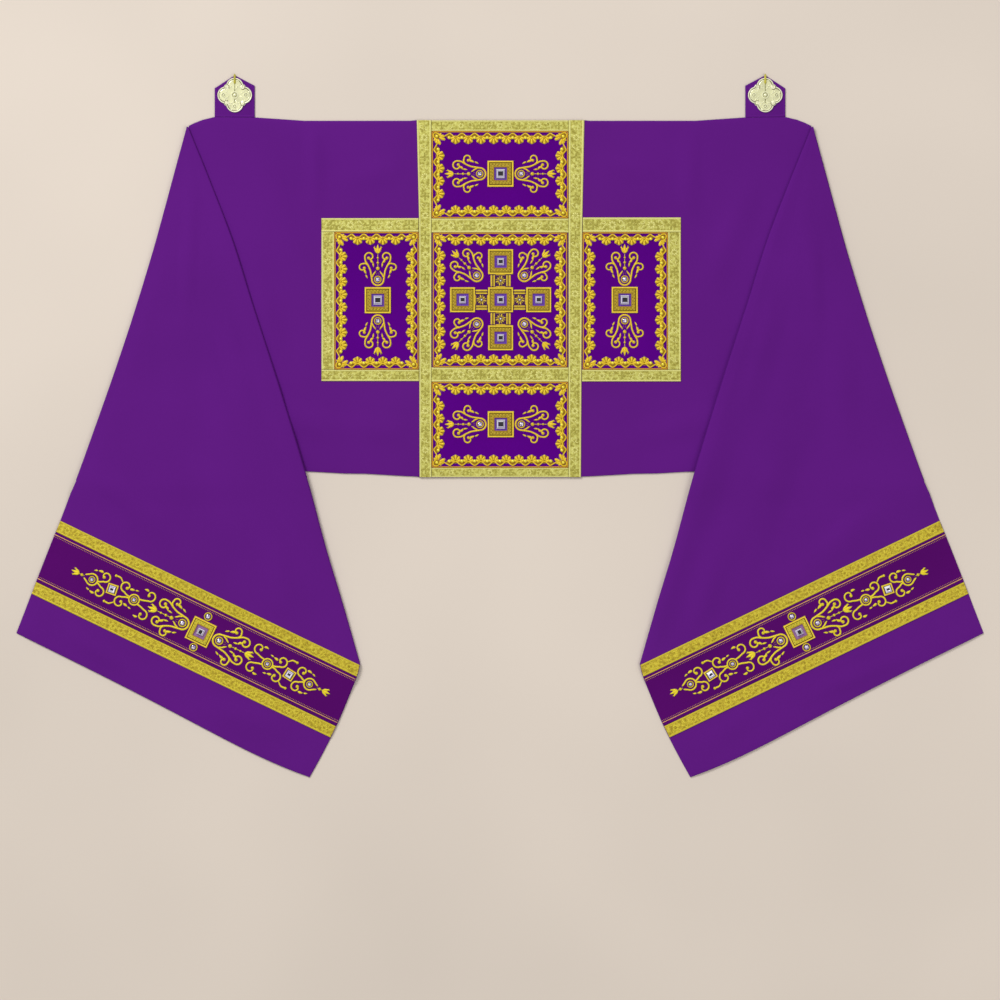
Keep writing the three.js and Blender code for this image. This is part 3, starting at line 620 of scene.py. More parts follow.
def braid_finish(name, colour, dark, pale):
    """Metal galloon: crossing ribs with a mottled glitter painted into the colour: pale painted glints and painted
    shade at random, a little darker between the ribs.
    """
    finish = Finish(name)
    weave = finish.combine("MULTIPLY", finish.threads(0.0011, "Y", 1.0), finish.threads(0.0016, "X", 1.5))
    mottle = finish.noise(210.0, 5.0)
    tone = finish.combine("ADD", mottle, finish.combine("MULTIPLY", weave, 0.25))
    return finish.done([(0.42, dark), (0.56, colour), (0.72, pale)], tone, finish.combine("ADD", weave, mottle), 0.5,
                       0.0004, {"Metallic": 0.35, "Roughness": 0.5})


def plain_finish(name, colour, roughness, metallic=0.0, grain=300.0, variation=0.12, coat=0.0, shine=0.5):
    """One colour with a fine uneven grain."""
    finish = Finish(name)
    grit = finish.noise(grain)
    return finish.done(toned(colour, variation, 0.3, 0.7), grit, grit, 0.12, 0.0003, {
        "Roughness": roughness, "Metallic": metallic, "Coat Weight": coat, "Specular IOR Level": shine})


FINISHES = {}


def finishes():
    """All the finishes, made once from the colours of the panel."""
    if FINISHES:
        return FINISHES
    colours = {name: tuple(getattr(bpy.context.scene.veil_colours, name)) for name in VeilColours.__annotations__}
    gold = colours["gold"]
    FINISHES.update({
        "ground": woven_finish("satin ground", colours["ground"], 0.0008, 0.7, 0.04, 0.05),
        "panel": woven_finish("velvet panel", colours["panel"], 0.0006, 0.85, 0.05, 0.1),
        "band": woven_finish("velvet band", colours["band"], 0.0006, 0.85, 0.05, 0.1),
        # The darker and paler colours of both galloons are painted shade and painted glints of their metal threads.
        "braid": braid_finish("galloon", colours["braid"], colours["braid_shade"], colours["braid_light"]),
        # The second colour of each thread finish is painted shade between its laid threads.
        "braid_rail": thread_finish("galloon rail", (0.76, 0.74, 0.27), (0.5, 0.46, 0.1), 0.0012, 0.2, 0.5),
        "braid_figure": thread_finish("galloon figure", (0.8, 0.78, 0.28), (0.52, 0.47, 0.09), 0.0008, 0.2, 0.45),
        "braid_cross": thread_finish("galloon cross", (0.42, 0.39, 0.07), (0.3, 0.26, 0.04), 0.0008, 0.2, 0.5),
        "arm_braid": braid_finish("gold galloon", (0.55, 0.43, 0.016), (0.35, 0.25, 0.008), (0.74, 0.62, 0.05)),
        "arm_rail": thread_finish("gold galloon rail", (0.7, 0.58, 0.04), (0.42, 0.31, 0.012), 0.0012, 0.2, 0.5),
        "arm_figure": thread_finish("gold galloon figure", (0.74, 0.64, 0.05), (0.46, 0.36, 0.015), 0.0008, 0.2, 0.45),
        "arm_core": thread_finish("gold galloon shade", (0.41, 0.31, 0.014), (0.28, 0.2, 0.01), 0.0008, 0.2, 0.5),
        "gold": thread_finish("gold thread", gold, shaded(gold, 0.68), 0.0007, 0.15, 0.35),
        "gold_lemon": thread_finish("lemon gold thread", (0.9, 0.74, 0.03), (0.62, 0.49, 0.018), 0.0007, 0.15, 0.35),
        "gold_bead": plain_finish("gold bead", (0.9, 0.78, 0.06), 0.3, 0.15, 500.0, 0.15),
        # This dark gold is a darker thread on the inner rims and thin lines, and painted shade on the flat pads among
        # the fans.
        "dark_gold_and_pad_shade": thread_finish("old gold thread", (0.46, 0.26, 0.012), (0.24, 0.12, 0.006), 0.0007, 0.15, 0.45),
        "gold_line": thread_finish("orange gold line", (0.72, 0.36, 0.025), (0.5, 0.22, 0.02), 0.0008, 0.15, 0.42),
        "gold_thin": thread_finish("copper gold line", (1.0, 0.58, 0.12), (0.78, 0.38, 0.06), 0.0012, 0.15, 0.45),
        "gold_rim": plain_finish("gold rim", (0.9, 0.66, 0.04), 0.32, 0.15, 500.0, 0.15),
        "gold_field": thread_finish("woven gold field", (0.52, 0.38, 0.03), (0.22, 0.14, 0.01), 0.0016, 0.15, 0.42),
        "field_bright": thread_finish("yellow field", (0.72, 0.64, 0.05), (0.4, 0.31, 0.02), 0.0016, 0.15, 0.42),
        "bar_field": plain_finish("bar field", (0.06, 0.014, 0.08), 0.6, shine=0.1),
        # The dark groove finish is painted shade in the sunken groove of the settings and in the sunken bed of the
        # small settings.
        "groove": plain_finish("dark groove", (0.09, 0.035, 0.008), 0.7, shine=0.1),
        "clasp": plain_finish("pale gold metal", colours["clasp"], 0.35, 0.35, 60.0, 0.06),
        # The clasp recess and clasp line finishes are painted shade in the clasp's hollows and round its rings and
        # curls.
        "clasp_recess_shade": plain_finish("clasp recess", (0.8, 0.8, 0.48), 0.4, 0.3, 90.0, 0.12),
        "clasp_line": plain_finish("clasp line", (0.16, 0.16, 0.025), 0.5, 0.2, 90.0, 0.15),
        "clasp_hook": plain_finish("clasp hook", (0.52, 0.46, 0.05), 0.35, 0.3, 90.0, 0.15),
        # The white stone finish is a painted glint, the lilac and dark facet finishes are painted shade on the facets,
        # and the near black table finish is a painted dark reflection.
        "stone": plain_finish("cut stone", (0.93, 0.94, 1.0), 0.08, 0.2, 60.0, 0.1, 0.5),
        "stone_mid_shade": plain_finish("lilac facet", (0.34, 0.24, 0.62), 0.08, 0.2, 60.0, 0.15, 0.5),
        "stone_deep_shade": plain_finish("dark facet", (0.17, 0.15, 0.24), 0.08, 0.2, 60.0, 0.15, 0.5),
        "stone_table": plain_finish("stone table", (0.02, 0.018, 0.025), 0.1, 0.0, 60.0, 0.2, 0.2),
        "stone_bed": plain_finish("violet bed", (0.14, 0.055, 0.42), 0.5, shine=0.1),
        "bed_pale": plain_finish("lilac bed", (0.29, 0.15, 0.36), 0.5, shine=0.1),
    })
    return FINISHES


# Ground cloth


def middle_cloth():
    top_end = TOP_EDGE[-1]["across"]
    bottom_end = BOTTOM_EDGE[-1]["across"]
    strength = bpy.context.scene.veil_sizes.crease_strength
    of_bottom = [row["across"] / bottom_end * top_end for row in BOTTOM_EDGE[1:-1]]
    evenly = [STATION_STEP * step for step in range(1, int(top_end / STATION_STEP))]
    half = sorted({round(value, 1) for value in [row["across"] for row in TOP_EDGE] + of_bottom + evenly})
    stations = [-value for value in reversed(half[1:])] + half
    top, foot = folded_edge(0), folded_edge(1)
    shares = [0, 0.0006, 0.0015, *even_shares(MIDDLE_ROWS)[:-1], 0.9985, 0.9994, 1]

    def point(row, column):
        share = shares[row]
        edge_across, edge_line = folded_edge(share)
        fall = (edge_line - top[1]) / (foot[1] - top[1])
        station = stations[column]
        part = abs(station) / top_end
        x = math.copysign(part * (edge_across - (APEX_ACROSS - top_end)), station)
        down = lerp(edge_down(TOP_EDGE, abs(station)), edge_down(BOTTOM_EDGE, part * bottom_end), fall)
        from_edge = min(share, 1 - share) * (foot[1] - top[1])
        reach = (smoothstep(abs(x), *PAST_SIDE_PANELS) + smoothstep(down, *BELOW_SIDE_PANELS)
                 + smoothstep(-down, *ABOVE_SIDE_PANELS))
        free = (min(reach, 1) * smoothstep(abs(x), *PAST_UPRIGHT_BRAID)
                * smoothstep(edge_across - abs(x), 0, UNDER_END_FADE) * smoothstep(from_edge, 0, CREASE_FADE))
        rise = creases(MIDDLE_CREASES, x, down, strength) * free
        thick = CLOTH / 2 * rounded(from_edge)
        return (*to_world(x, down), rise + CLOTH / 2 + thick, rise + CLOTH / 2 - thick, x, down)

    bm = bmesh.new()
    add_shell(bm, len(shares) - 1, len(stations) - 1, point)
    piece = finish_piece("cloth_middle", bm, ["ground"], ["ground_middle"])


def folded_edge(share):
    """Where the first fold of the strip lies, as across and down."""
    down = share * FOOT_DOWN
    outer = end_value("outer", down)
    return APEX_ACROSS - outer * END_COS + down * END_SIN, APEX_DOWN + outer * END_SIN + down * END_COS


def sections_between(start, end, shares, folded):
    """Sections of an end between two lines, each with how far down its two ends lie."""
    return [(lerp(start["outer"], end["outer"], share), lerp(start["inner"], end["inner"], share), folded)
            for share in shares]


def section_frame(section):
    """The two ends of a section, its width, and how much its fold is narrowed close to the apex."""
    outer_down, inner_down = section[:2]
    start = Vector((end_value("outer", outer_down), outer_down))
    end = Vector((end_value("inner", inner_down), inner_down))
    width = (end - start).length
    return start, end, width, min(1, width / NARROW)


FOLDED_SECTIONS = (sections_between(AT_APEX, MIDDLE_EDGE, [0, 0.004, 0.01] + even_shares(56), True)
                   + sections_between(MIDDLE_EDGE, HIDDEN_EDGE, even_shares(18), True))
STRAIGHT_DOWN = [UPPER_BRAID["top"], *even_between(UPPER_BRAID["top"], HEM_DOWN, 26), HEM_DOWN - 0.9,
                 HEM_DOWN - 0.35, HEM_DOWN]
FRONT_SECTIONS = (FOLDED_SECTIONS + sections_between(HIDDEN_EDGE, BRAID_TOP, [1 / 3, 2 / 3], False)
                  + [(down, down, False) for down in STRAIGHT_DOWN])
EDGE_STATIONS = [0, 0.35, 0.9]
NOSE_ANGLES = [75, 55, 35, 15, 0]


def hem_fall(down, share):
    """The lower hem runs a little down towards the inner side."""
    near = smoothstep(down, LOWER_BRAID["bottom"], HEM_DOWN)
    return near * (HEM_SLANT * share + HEM_BOW * math.sin(math.pi * share**3))


def front_under(side, section, station):
    """Height of the underside of the front stretch at a distance from its outer edge."""
    start, end, width, narrow = section_frame(section)
    across, down = start.lerp(end, station / width)
    spread = min(1, width / FULL_SPREAD_WIDTH)
    to_fold = (width - FOLD_HEEL * narrow - station) / spread
    lift = max(end_value("lift", section[1]), 0) * LIFT_GAIN * bump(max(to_fold, 0), LIFT_REACH)
    shoulder = SHOULDER_RISE * spread * smoothstep(to_fold, 0, SHOULDER_REACH)
    roll = max(end_value("roll", section[1]), 0) * bump(to_fold - ROLL_PLACE, ROLL_REACH)
    layers = held(past_line(MIDDLE_EDGE, across, down)) + held(past_line(HIDDEN_EDGE, across, down))
    strength = bpy.context.scene.veil_sizes.crease_strength
    off_band = 1 - smoothstep(down, *ABOVE_BAND) + smoothstep(down, *BELOW_BAND)
    off_edge = smoothstep(station, 0, CREASE_FADE)
    inside = off_edge * smoothstep(to_fold, 0, FOLD_FADE) * (1 - smoothstep(down, *ABOVE_HEM))
    soft = off_band * inside * creases(FRONT_CREASES[side], across, down, strength)
    return LAYER * layers + lift + roll + shoulder * off_edge + soft


def front_top(side, across, down):
    """Height of the front stretch's upper face in its straight part, round its fold too."""
    section = (down, down, False)
    width = section_frame(section)[2]
    station = across - end_value("outer", down)
    past = min(max(station - width + FOLD_HEEL, 0) / FOLD_HEEL, 1)
    return front_under(side, section, min(station, width - FOLD_HEEL)) + CLOTH / 2 * (1 + math.sqrt(1 - past * past))


def front_cloth(side, name):
    nose = len(EDGE_STATIONS) + FRONT_COLUMNS

    def point(row, column):
        section = FRONT_SECTIONS[row]
        start, end, width, narrow = section_frame(section)
        edge = EDGE_IN_FROM_FOLD * narrow if section[2] else 0
        heel = width - FOLD_HEEL * narrow
        half = None
        if column < len(EDGE_STATIONS):
            station = edge + EDGE_STATIONS[column] * narrow
        elif column <= nose:
            share = (column - len(EDGE_STATIONS) + 1) / (FRONT_COLUMNS + 1)
            station = lerp(edge + EDGE_STATIONS[-1] * narrow, heel, share)
        else:
            half = math.radians(NOSE_ANGLES[column - nose - 1])
            station = heel + FOLD_HEEL * narrow * math.cos(half)
        across, down = start.lerp(end, station / width)
        drop = hem_fall(section[0], station / width)
        under = front_under(side, section, min(station, heel))
        if half is None:
            edges = min(station - edge, HEM_DOWN - section[0])
            thick = CLOTH / 2 * rounded(edges)
            top, low = under + CLOTH / 2 + thick, under + CLOTH / 2 - thick
        else:
            tip_low = LAYER * held(past_line(MIDDLE_EDGE, end.x, end.y)) if section[2] else under
            middle, rise = (under + CLOTH + tip_low) / 2, (under + CLOTH - tip_low) / 2
            rise *= max(math.sin(half), NOSE_THIN)
            top, low = middle + rise, middle - rise
        return (*end_to_world(side, across, down + drop), top, low, across, down)

    bm = bmesh.new()
    add_shell(bm, len(FRONT_SECTIONS) - 1, nose + len(NOSE_ANGLES), point)
    piece = finish_piece(f"cloth_front_{name}", bm, ["ground"], [f"end_front_{name}"], 60)


def folded_cloth(side, name):
    def point(row, column):
        section = FOLDED_SECTIONS[row]
        start, end, width, narrow = section_frame(section)
        half = None
        if column < len(NOSE_ANGLES):
            half = math.radians(NOSE_ANGLES[-1 - column])
            station = FOLD_HEEL * narrow * (1 - math.cos(half))
        else:
            share = (column - len(NOSE_ANGLES)) / (FOLDED_COLUMNS + 1)
            station = lerp(FOLD_HEEL * narrow, width - (FOLD_HEEL + 0.4) * narrow, share)
        across, down = start.lerp(end, station / width)
        under = LAYER * held(past_line(MIDDLE_EDGE, across, down))
        top, low = under + CLOTH, under
        if half is not None:
            rise = (under + CLOTH) / 2 * max(math.sin(half), NOSE_THIN)
            top, low = (under + CLOTH) / 2 + rise, (under + CLOTH) / 2 - rise
        return (*end_to_world(side, across, down), top, low, across, down)

    bm = bmesh.new()
    add_shell(bm, len(FOLDED_SECTIONS) - 1, len(NOSE_ANGLES) + FOLDED_COLUMNS + 1, point)
    piece = finish_piece(f"cloth_folded_{name}", bm, ["ground"], [f"end_folded_{name}"], 60)


def tab_cloth(side, name):
    """A house-shaped tab with a turned edge."""
    corners = [(TAB[edge], edge_down(TOP_EDGE, TAB[edge]) - TAB_UNDER_EDGE) for edge in ("outer", "inner")]
    corners += [(TAB["inner"], TAB["inner_top"]), (TAB["point"], TAB["tip"]), (TAB["outer"], TAB["outer_top"])]
    bm = new_drawing()
    verts = [bm.verts.new((side * across, ORIGIN_DOWN - down, TAB_LOW)) for across, down in corners]
    face = bmesh.ops.contextual_create(bm, geom=verts)["faces"][0]
    walls = bmesh.ops.extrude_face_region(bm, geom=[face])["geom"]
    lifted = [item for item in walls if isinstance(item, bmesh.types.BMVert)]
    bmesh.ops.translate(bm, vec=(0, 0, CLOTH - TAB_LOW), verts=lifted)
    top = [item for item in walls if isinstance(item, bmesh.types.BMFace)]
    bmesh.ops.bevel(bm, geom=list({edge for item in top for edge in item.edges}), offset=0.5, segments=2,
                    profile=0.5, affect="EDGES", material=-1)
    bmesh.ops.recalc_face_normals(bm, faces=bm.faces)
    top = max(bm.faces, key=lambda item: item.calc_center_median().z + item.calc_area() * 1e-6)
    for width, rise in TAB_TURNED_EDGE:
        bmesh.ops.inset_region(bm, faces=[top], thickness=width, depth=rise)
    weave = bm.loops.layers.uv.verify()
    for item in bm.faces:
        for loop in item.loops:
            loop[weave].uv = (loop.vert.co.x * MM, loop.vert.co.y * MM)
    piece = finish_piece(f"tab_cloth_{name}", bm, ["ground"], [f"tab_{name}"])


# Panels and their borders


def panel_cloth(panel):
    """A panel of velvet with softly rounded edges and a slightly uneven face."""
    name, left, top = panel["name"], panel["left"], panel["top"]
    width, height = panel["right"] - left, panel["bottom"] - top
    across, downs = rimmed(width - 2 * SEAM, PANEL_RIM, 24), rimmed(height - 2 * SEAM, PANEL_RIM, 20)

    def point(row, column):
        u, v = across[column], downs[len(downs) - 1 - row]
        thick = (PANEL_TOP - ON_CLOTH) / 2 * rounded(min(u, across[-1] - u, v, downs[-1] - v))
        x, y = to_world(left + SEAM + u, top + SEAM + v)
        ripple = PANEL_UNEVEN * noise.noise(Vector((x, y, 7)) / 26)
        middle = (PANEL_TOP + ON_CLOTH) / 2
        return x, y, middle + thick + ripple, middle - thick, u, v

    bm = bmesh.new()
    add_shell(bm, len(downs) - 1, len(across) - 1, point)
    piece = finish_piece(f"panel_velvet_{name}", bm, ["panel"], [f"panel_{name}"])


def draw_fan(bm):
    """Five ribs of satin stitch that spread from one point, which is the origin, towards +Y."""
    # The flat dark disc under the ribs is painted shade between them.
    add_bead(bm, (0, 4.6), 7.6, 0.9, -0.2, 1, 2)
    for turn, length in ((160, 9.6), (126, 11.6), (90, 12.6), (54, 11.6), (20, 9.6)):
        add_thread(bm, ray(turn, (0.08, 0.3, 0.55, 0.8, 0.94, 1.0), length), tapered(2.5, 0.5, 1.3, 0.74), 1.5, 6)


def draw_corner_fan(bm):
    """Ribs round a corner bead. The slot between the middle two follows the corner's diagonal, towards +Y."""
    for side in (-1, 1):
        for turn, length, wide in ((23, 15.6, 2.6), (50, 12.4, 2.2), (76, 9.4, 1.8)):
            path = ray(90 - side * turn, (0.22, 0.4, 0.6, 0.8, 0.94, 1.0), length)
            add_thread(bm, path, tapered(wide, 0.6, 1.1, 0.7), 1.4, 6)
    add_thread(bm, [(0, 3.6), (0, 6), (0, 9), (0, 12)], 0.4, 0.7, 4, material=2)


# Distances of a border inwards from its panel's edge
LINE_IN = 1.1
CORD_IN = 7.0
CORD_WAVE = 3.1
PAD_IN = 8.2
CORNER_IN = 8.6
FAN_IN = 9.4
BEAD_IN = 11
CORNER_LOOP = [(10, 18.4), (6.8, 14.4), (3.9, 10.6), (2.9, 6.6), (3.8, 3.8), (6.6, 2.9), (10.6, 3.9), (14.4, 6.8)]


def border(panel, fan, corner_fan):
    """Edge line, wavy cord, beads and fans round one panel. The flat dark pads among the fans and under the corner
    beads are painted shade.
    """
    left, right, top, bottom = panel["left"], panel["right"], panel["top"], panel["bottom"]
    bm = new_drawing()
    gold, pad_shade, orange, bead = range(4)
    cord = []
    for index, (across, down) in enumerate([(left, bottom), (right, bottom), (right, top), (left, top)]):
        turn = math.radians(index * 90)
        length, fans = (right - left, panel["across"]) if index % 2 == 0 else (bottom - top, panel["down"])
        cos, sin = round(math.cos(turn)), round(math.sin(turn))
        x0, y0 = to_world(across, down)

        def at(along, inwards):
            return x0 + along * cos - inwards * sin, y0 + along * sin + inwards * cos

        edge = [at(lerp(0.1, length - 0.1, share), LINE_IN) for share in blunt_shares(24, 0.002)]
        add_thread(bm, edge, 1.05, 1.4, 6, THREAD_FOOT, orange)
        first = (length - (fans - 1) * FAN_PITCH) / 2
        cord += [at(*point) for point in CORNER_LOOP]
        start, end = first - FAN_PITCH / 2, length - first + FAN_PITCH / 2
        cord.append(at((10 + start) / 2, 9.6))
        for step in range(fans * 8 + 1):
            along = lerp(start, end, step / (fans * 8))
            cord.append(at(along, CORD_IN - CORD_WAVE * math.cos(2 * math.pi * (along - start) / FAN_PITCH)))
        corner_bead = at(CORNER_IN, CORNER_IN)
        between = [first + (number - 0.5) * FAN_PITCH for number in range(fans + 1)]
        pads = [(at(along, PAD_IN), 5.0) for along in between]
        beads = [(at(along, BEAD_IN), 2.8, 2.6) for along in between]
        # The flat dark pads between the fans and under the corner bead are painted shade.
        for place, radius in [*pads, (corner_bead, 5.2)]:
            add_bead(bm, place, radius, 0.8, THREAD_FOOT - 0.2, pad_shade, 2)
        for place, radius, rise in [*beads, (corner_bead, 2.7, 2.5)]:
            add_bead(bm, place, radius, rise, THREAD_FOOT, bead, 2)
        for number in range(fans):
            stamp(bm, fan, Matrix.Translation((*at(first + number * FAN_PITCH, FAN_IN), THREAD_FOOT))
                  @ Matrix.Rotation(turn, 4, "Z"))
        stamp(bm, corner_fan, Matrix.Translation((*corner_bead, THREAD_FOOT))
              @ Matrix.Rotation(turn - math.pi / 4, 4, "Z"))
    add_thread(bm, smooth_path(cord, 2, closed=True), 1.25, 2.0, 6, THREAD_FOOT, gold)
    finish_piece(f"border_thread_{panel['name']}", bm, ("gold", "dark_gold_and_pad_shade", "gold_line", "gold_bead"),
                 [f"border_{panel['name']}"], 60)


# Square settings


def raised_square(bm, side, steps, base=0.0, height=0.5):
    """A square block whose top is cut by insets. Each step is its width, its rise and the finishes of its sides."""
    block = bmesh.ops.create_cube(bm, size=1)
    bmesh.ops.scale(bm, vec=(side, side, height), verts=block["verts"])
    bmesh.ops.translate(bm, vec=(0, 0, base + height / 2), verts=block["verts"])
    faces = {face for vert in block["verts"] for face in vert.link_faces}
    top = max(faces, key=lambda face: face.calc_center_median().z)
    for width, rise, *finish in steps:
        ring = bmesh.ops.inset_region(bm, faces=[top], thickness=width, depth=rise, use_even_offset=True)
        faces |= set(ring["faces"])
        for face in ring["faces"]:
            centre = face.calc_center_median()
            # A step may give each side its own finish; the cut stones use this to paint light and shade on their facets
            # by side.
            quarter = round(math.atan2(centre.y, centre.x) / (math.pi / 2)) % 4
            face.material_index = finish[quarter % len(finish)]
        top.material_index = finish[0]
    weave = bm.loops.layers.uv.verify()
    for face in faces:
        centre = face.calc_center_median()
        for loop in face.loops:
            x, y = loop.vert.co.x * MM, loop.vert.co.y * MM
            loop[weave].uv = (y, x) if abs(centre.x) > abs(centre.y) else (x, y)


# The sunken groove steps take the dark groove finish, which is painted shade.
SETTING_STEPS = [
    (0.5, 1.1, 0), (2.1, 0.0, 0), (0.4, -1.0, 2), (0.7, 0.0, 2), (0.5, 0.6, 1), (5.3, 0.1, 1), (0.3, 0.5, 8),
    (1.0, 0.0, 8), (0.3, -1.6, 3), (0.2, 0.0, 3),
]
DOT_LINES = ((15.3, 12), (12.9, 9))
DOT_RADIUS = 0.62
# Steps of the cut stones: each facet ring mixes white sides, a painted glint, with lilac and dark sides, painted shade;
# the last step, the table, is near black, a painted dark reflection.
SMALL_STONE_STEPS = [(1.1, 1.0, 4, 5, 4, 6), (1.5, 0.8, 5, 4, 4, 4), (1.2, 0.3, 4, 6, 4, 5), (0.1, 0, 7)]
STONE_STEPS = [(0.9, 1.0, 5, 4, 6, 4), (1.0, 0.8, 4, 6, 4, 5), (0.9, 0.4, 6, 4, 5, 4), (0.1, 0.0, 7)]


def draw_setting(bm):
    """A square setting of 42 mm: rim, a sunken groove painted dark as shade, woven field with two lines of dots, inner
    rim and violet bed.
    """
    raised_square(bm, CROSS_SIDE, SETTING_STEPS, 0, 1.0)
    for quarter in range(4):
        cos, sin = round(math.cos(quarter * math.pi / 2)), round(math.sin(quarter * math.pi / 2))
        for out, dots in DOT_LINES:
            for dot in range(dots):
                along = lerp(-out, out, dot / dots)
                add_bead(bm, (along * cos - out * sin, along * sin + out * cos), DOT_RADIUS, 0.7, 1.7, dot % 2 * 2)


def draw_square_stone(bm):
    """A step-cut stone of 11.8 mm on the bed."""
    raised_square(bm, 11.8, STONE_STEPS, 1.0, 1.3)


def draw_small_setting(bm):
    """A square rim of 18 mm round a sunken bed, dark with painted shade."""
    raised_square(bm, SMALL_SETTING_SIDE, [(0.5, 0.9, 0), (1.7, 0.0, 0), (0.4, -0.7, 2), (0.6, 0.0, 2)], 0, 0.9)


def draw_small_stone(bm):
    """A step-cut stone of 11.4 mm."""
    raised_square(bm, 11.4, SMALL_STONE_STEPS, 0.9, 1.2)


def draw_bar(bm):
    """A bar of the cross, which runs along Y: rails at each side and a flower between them."""
    raised_square(bm, BAR_LENGTH, [(0.1, 0.0, 9)], 0, 0.65)
    bmesh.ops.scale(bm, vec=(BAR_WIDTH / BAR_LENGTH, 1, 1), verts=bm.verts)
    for out, wide, material in ((15.6, 1.35, 0), (12.9, 0.8, 1), (10.7, 1.1, 0)):
        for side in (-1, 1):
            add_thread(bm, line((side * out, -10.6), (side * out, 10.6), 10), wide, 1.2, 6, 0.5, material)
    for turn in range(12):
        path = ray(15 + 30 * turn, (0.25, 0.45, 0.7, 0.9, 1), 8.8 if turn % 3 != 1 else 7.4)
        add_thread(bm, path, tapered(1.2, 0.4, 0.6, 0.7), 1.0, 6, 0.5, turn % 2)
    for side in (-1, 1):
        add_thread(bm, line((-9.3, side * 9.9), (9.3, side * 9.9), 8), 0.7, 0.9, 6, 0.5)
    add_bead(bm, (0, 0), 1.7, 1.5, 0.6, 4)


SETTING_LOOK = ("gold_rim", "gold_field", "groove", "stone_bed", "stone", "stone_mid_shade", "stone_deep_shade", "stone_table",
                "dark_gold_and_pad_shade", "bar_field")
BAND_SETTING_LOOK = ("gold_rim", "field_bright", "groove", "bed_pale", *SETTING_LOOK[4:])


def grown(size):
    return Matrix.Diagonal((size, size, 1, 1))


def setting_piece(name, node, template, place, look=SETTING_LOOK):
    bm = bmesh.new()
    stamp(bm, template, place)
    finish_piece(name, bm, look, [node], 25)


# Scroll embroidery. Each drawing points along +Y, and its ring is the origin.

THREAD_RISE = 1.5


def both_sides(bm, draw):
    """Adds what a function draws on the right-hand side, and its mirror image."""
    half = template_mesh(draw)
    stamp(bm, half)
    stamp(bm, half, mirror=True)
    bpy.data.meshes.remove(half)


def draw_strand(bm, lead, centre, radius, enter, sweep, end, wide=1.5, knob=2.3):
    """A strand that runs into a curl. The curl winds in faster towards its thick round end."""
    curl = []
    for step in range(25):
        share = step / 24
        angle = math.radians(enter + sweep * share)
        reach = radius * (1 - (1 - end) * share**3)
        curl.append((centre[0] + reach * math.cos(angle), centre[1] + reach * math.sin(angle)))
    path = smooth_path([*lead, curl[0]], 4)[:-1] + curl
    add_thread(bm, path, lambda share: wide * (1 - 0.12 * share), THREAD_RISE)
    add_bead(bm, curl[-1], knob, 1.5, 0.0, 0, 2)


def draw_drop(bm, points, wide):
    """A drop-shaped stitch with its thick end first."""
    add_thread(bm, smooth_path(points, 5), tapered(wide, 0.55, 0.25, 0.38), THREAD_RISE)


def draw_lily(bm, foot_at, size=1.0):
    """A lily of three petals with a bulb at its foot."""
    def petal(drawing, points, wide, peak):
        path = smooth_path([(x * size, foot_at + y * size) for x, y in points], 4)
        add_thread(drawing, path, tapered(wide * size, 0.5, 0.15, peak), THREAD_RISE)

    def side_petals(half):
        petal(half, [(0.4, 0.5), (2.6, 4), (4.2, 8), (7.4, 11.6)], 2.1, 0.45)
        petal(half, [(4.4, 8.6), (5.4, 11.2), (4.9, 13.4)], 0.9, 0.4)

    petal(bm, [(0, 0), (0, 4), (0, 9), (0, 16.4)], 2.7, 0.35)
    both_sides(bm, side_petals)


def draw_stone_ring(bm, tip):
    """The ring round the stone, a stroke on each side from the loop to where the stem starts, and two thin lines."""
    add_thread(bm, arc((0, 0), 5.5, 0, 360, steps=24), 1.0, 1.7)

    def strokes(half):
        path = smooth_path([(9.2, 3.2), (7.6, 8.2), (5.0, 11.6), (3.2, tip + 0.6)], 5)
        add_thread(half, path, tapered(1.35, 0.9, 0.5, 0.6), THREAD_RISE)
        add_thread(half, [(2.2, 6.4), (1.7, 9.6), (0.9, 13)], 0.4, 0.8, around=4, material=1)
    both_sides(bm, strokes)


def draw_spray(bm):
    """Ring, stem with dots, lily, and two curled strands on each side."""
    draw_stone_ring(bm, 14.2)
    for at, radius in ((18.6, 3.1), (28.2, 2.2), (36.4, 1.8)):
        add_bead(bm, (0, at), radius, 1.6, 0.0, 0, 2)
    add_thread(bm, line((0, 14), (0, 44), 10), 0.5, 0.9)
    draw_lily(bm, 43.2)

    def strands(half):
        lead = arc((0, 0), 9.9, 262, 98, steps=6) + [(11.2, 8), (12.6, 15.5), (16.6, 24.3), (20.6, 31)]
        draw_strand(half, lead, (14.4, 37.8), 7.2, 0, 295, 0.27, 1.5, 2.7)
        draw_strand(half, [(16.2, 23.8), (19.6, 26.4), (22.6, 27)], (25.2, 20.6), 5.8, 95, -248, 0.5, 1.4, 2.6)
        draw_drop(half, [(12, 34.2), (10.2, 30), (6.8, 28.4)], 2.0)
        draw_drop(half, [(8.2, 28.2), (7.4, 24), (7, 20.4)], 1.4)
        draw_drop(half, [(22.4, 18), (21.6, 13.8), (19.2, 9)], 2.0)
        draw_drop(half, [(20.4, 8.4), (18.8, 5.2), (16.8, 1.8)], 1.4)
    both_sides(bm, strands)


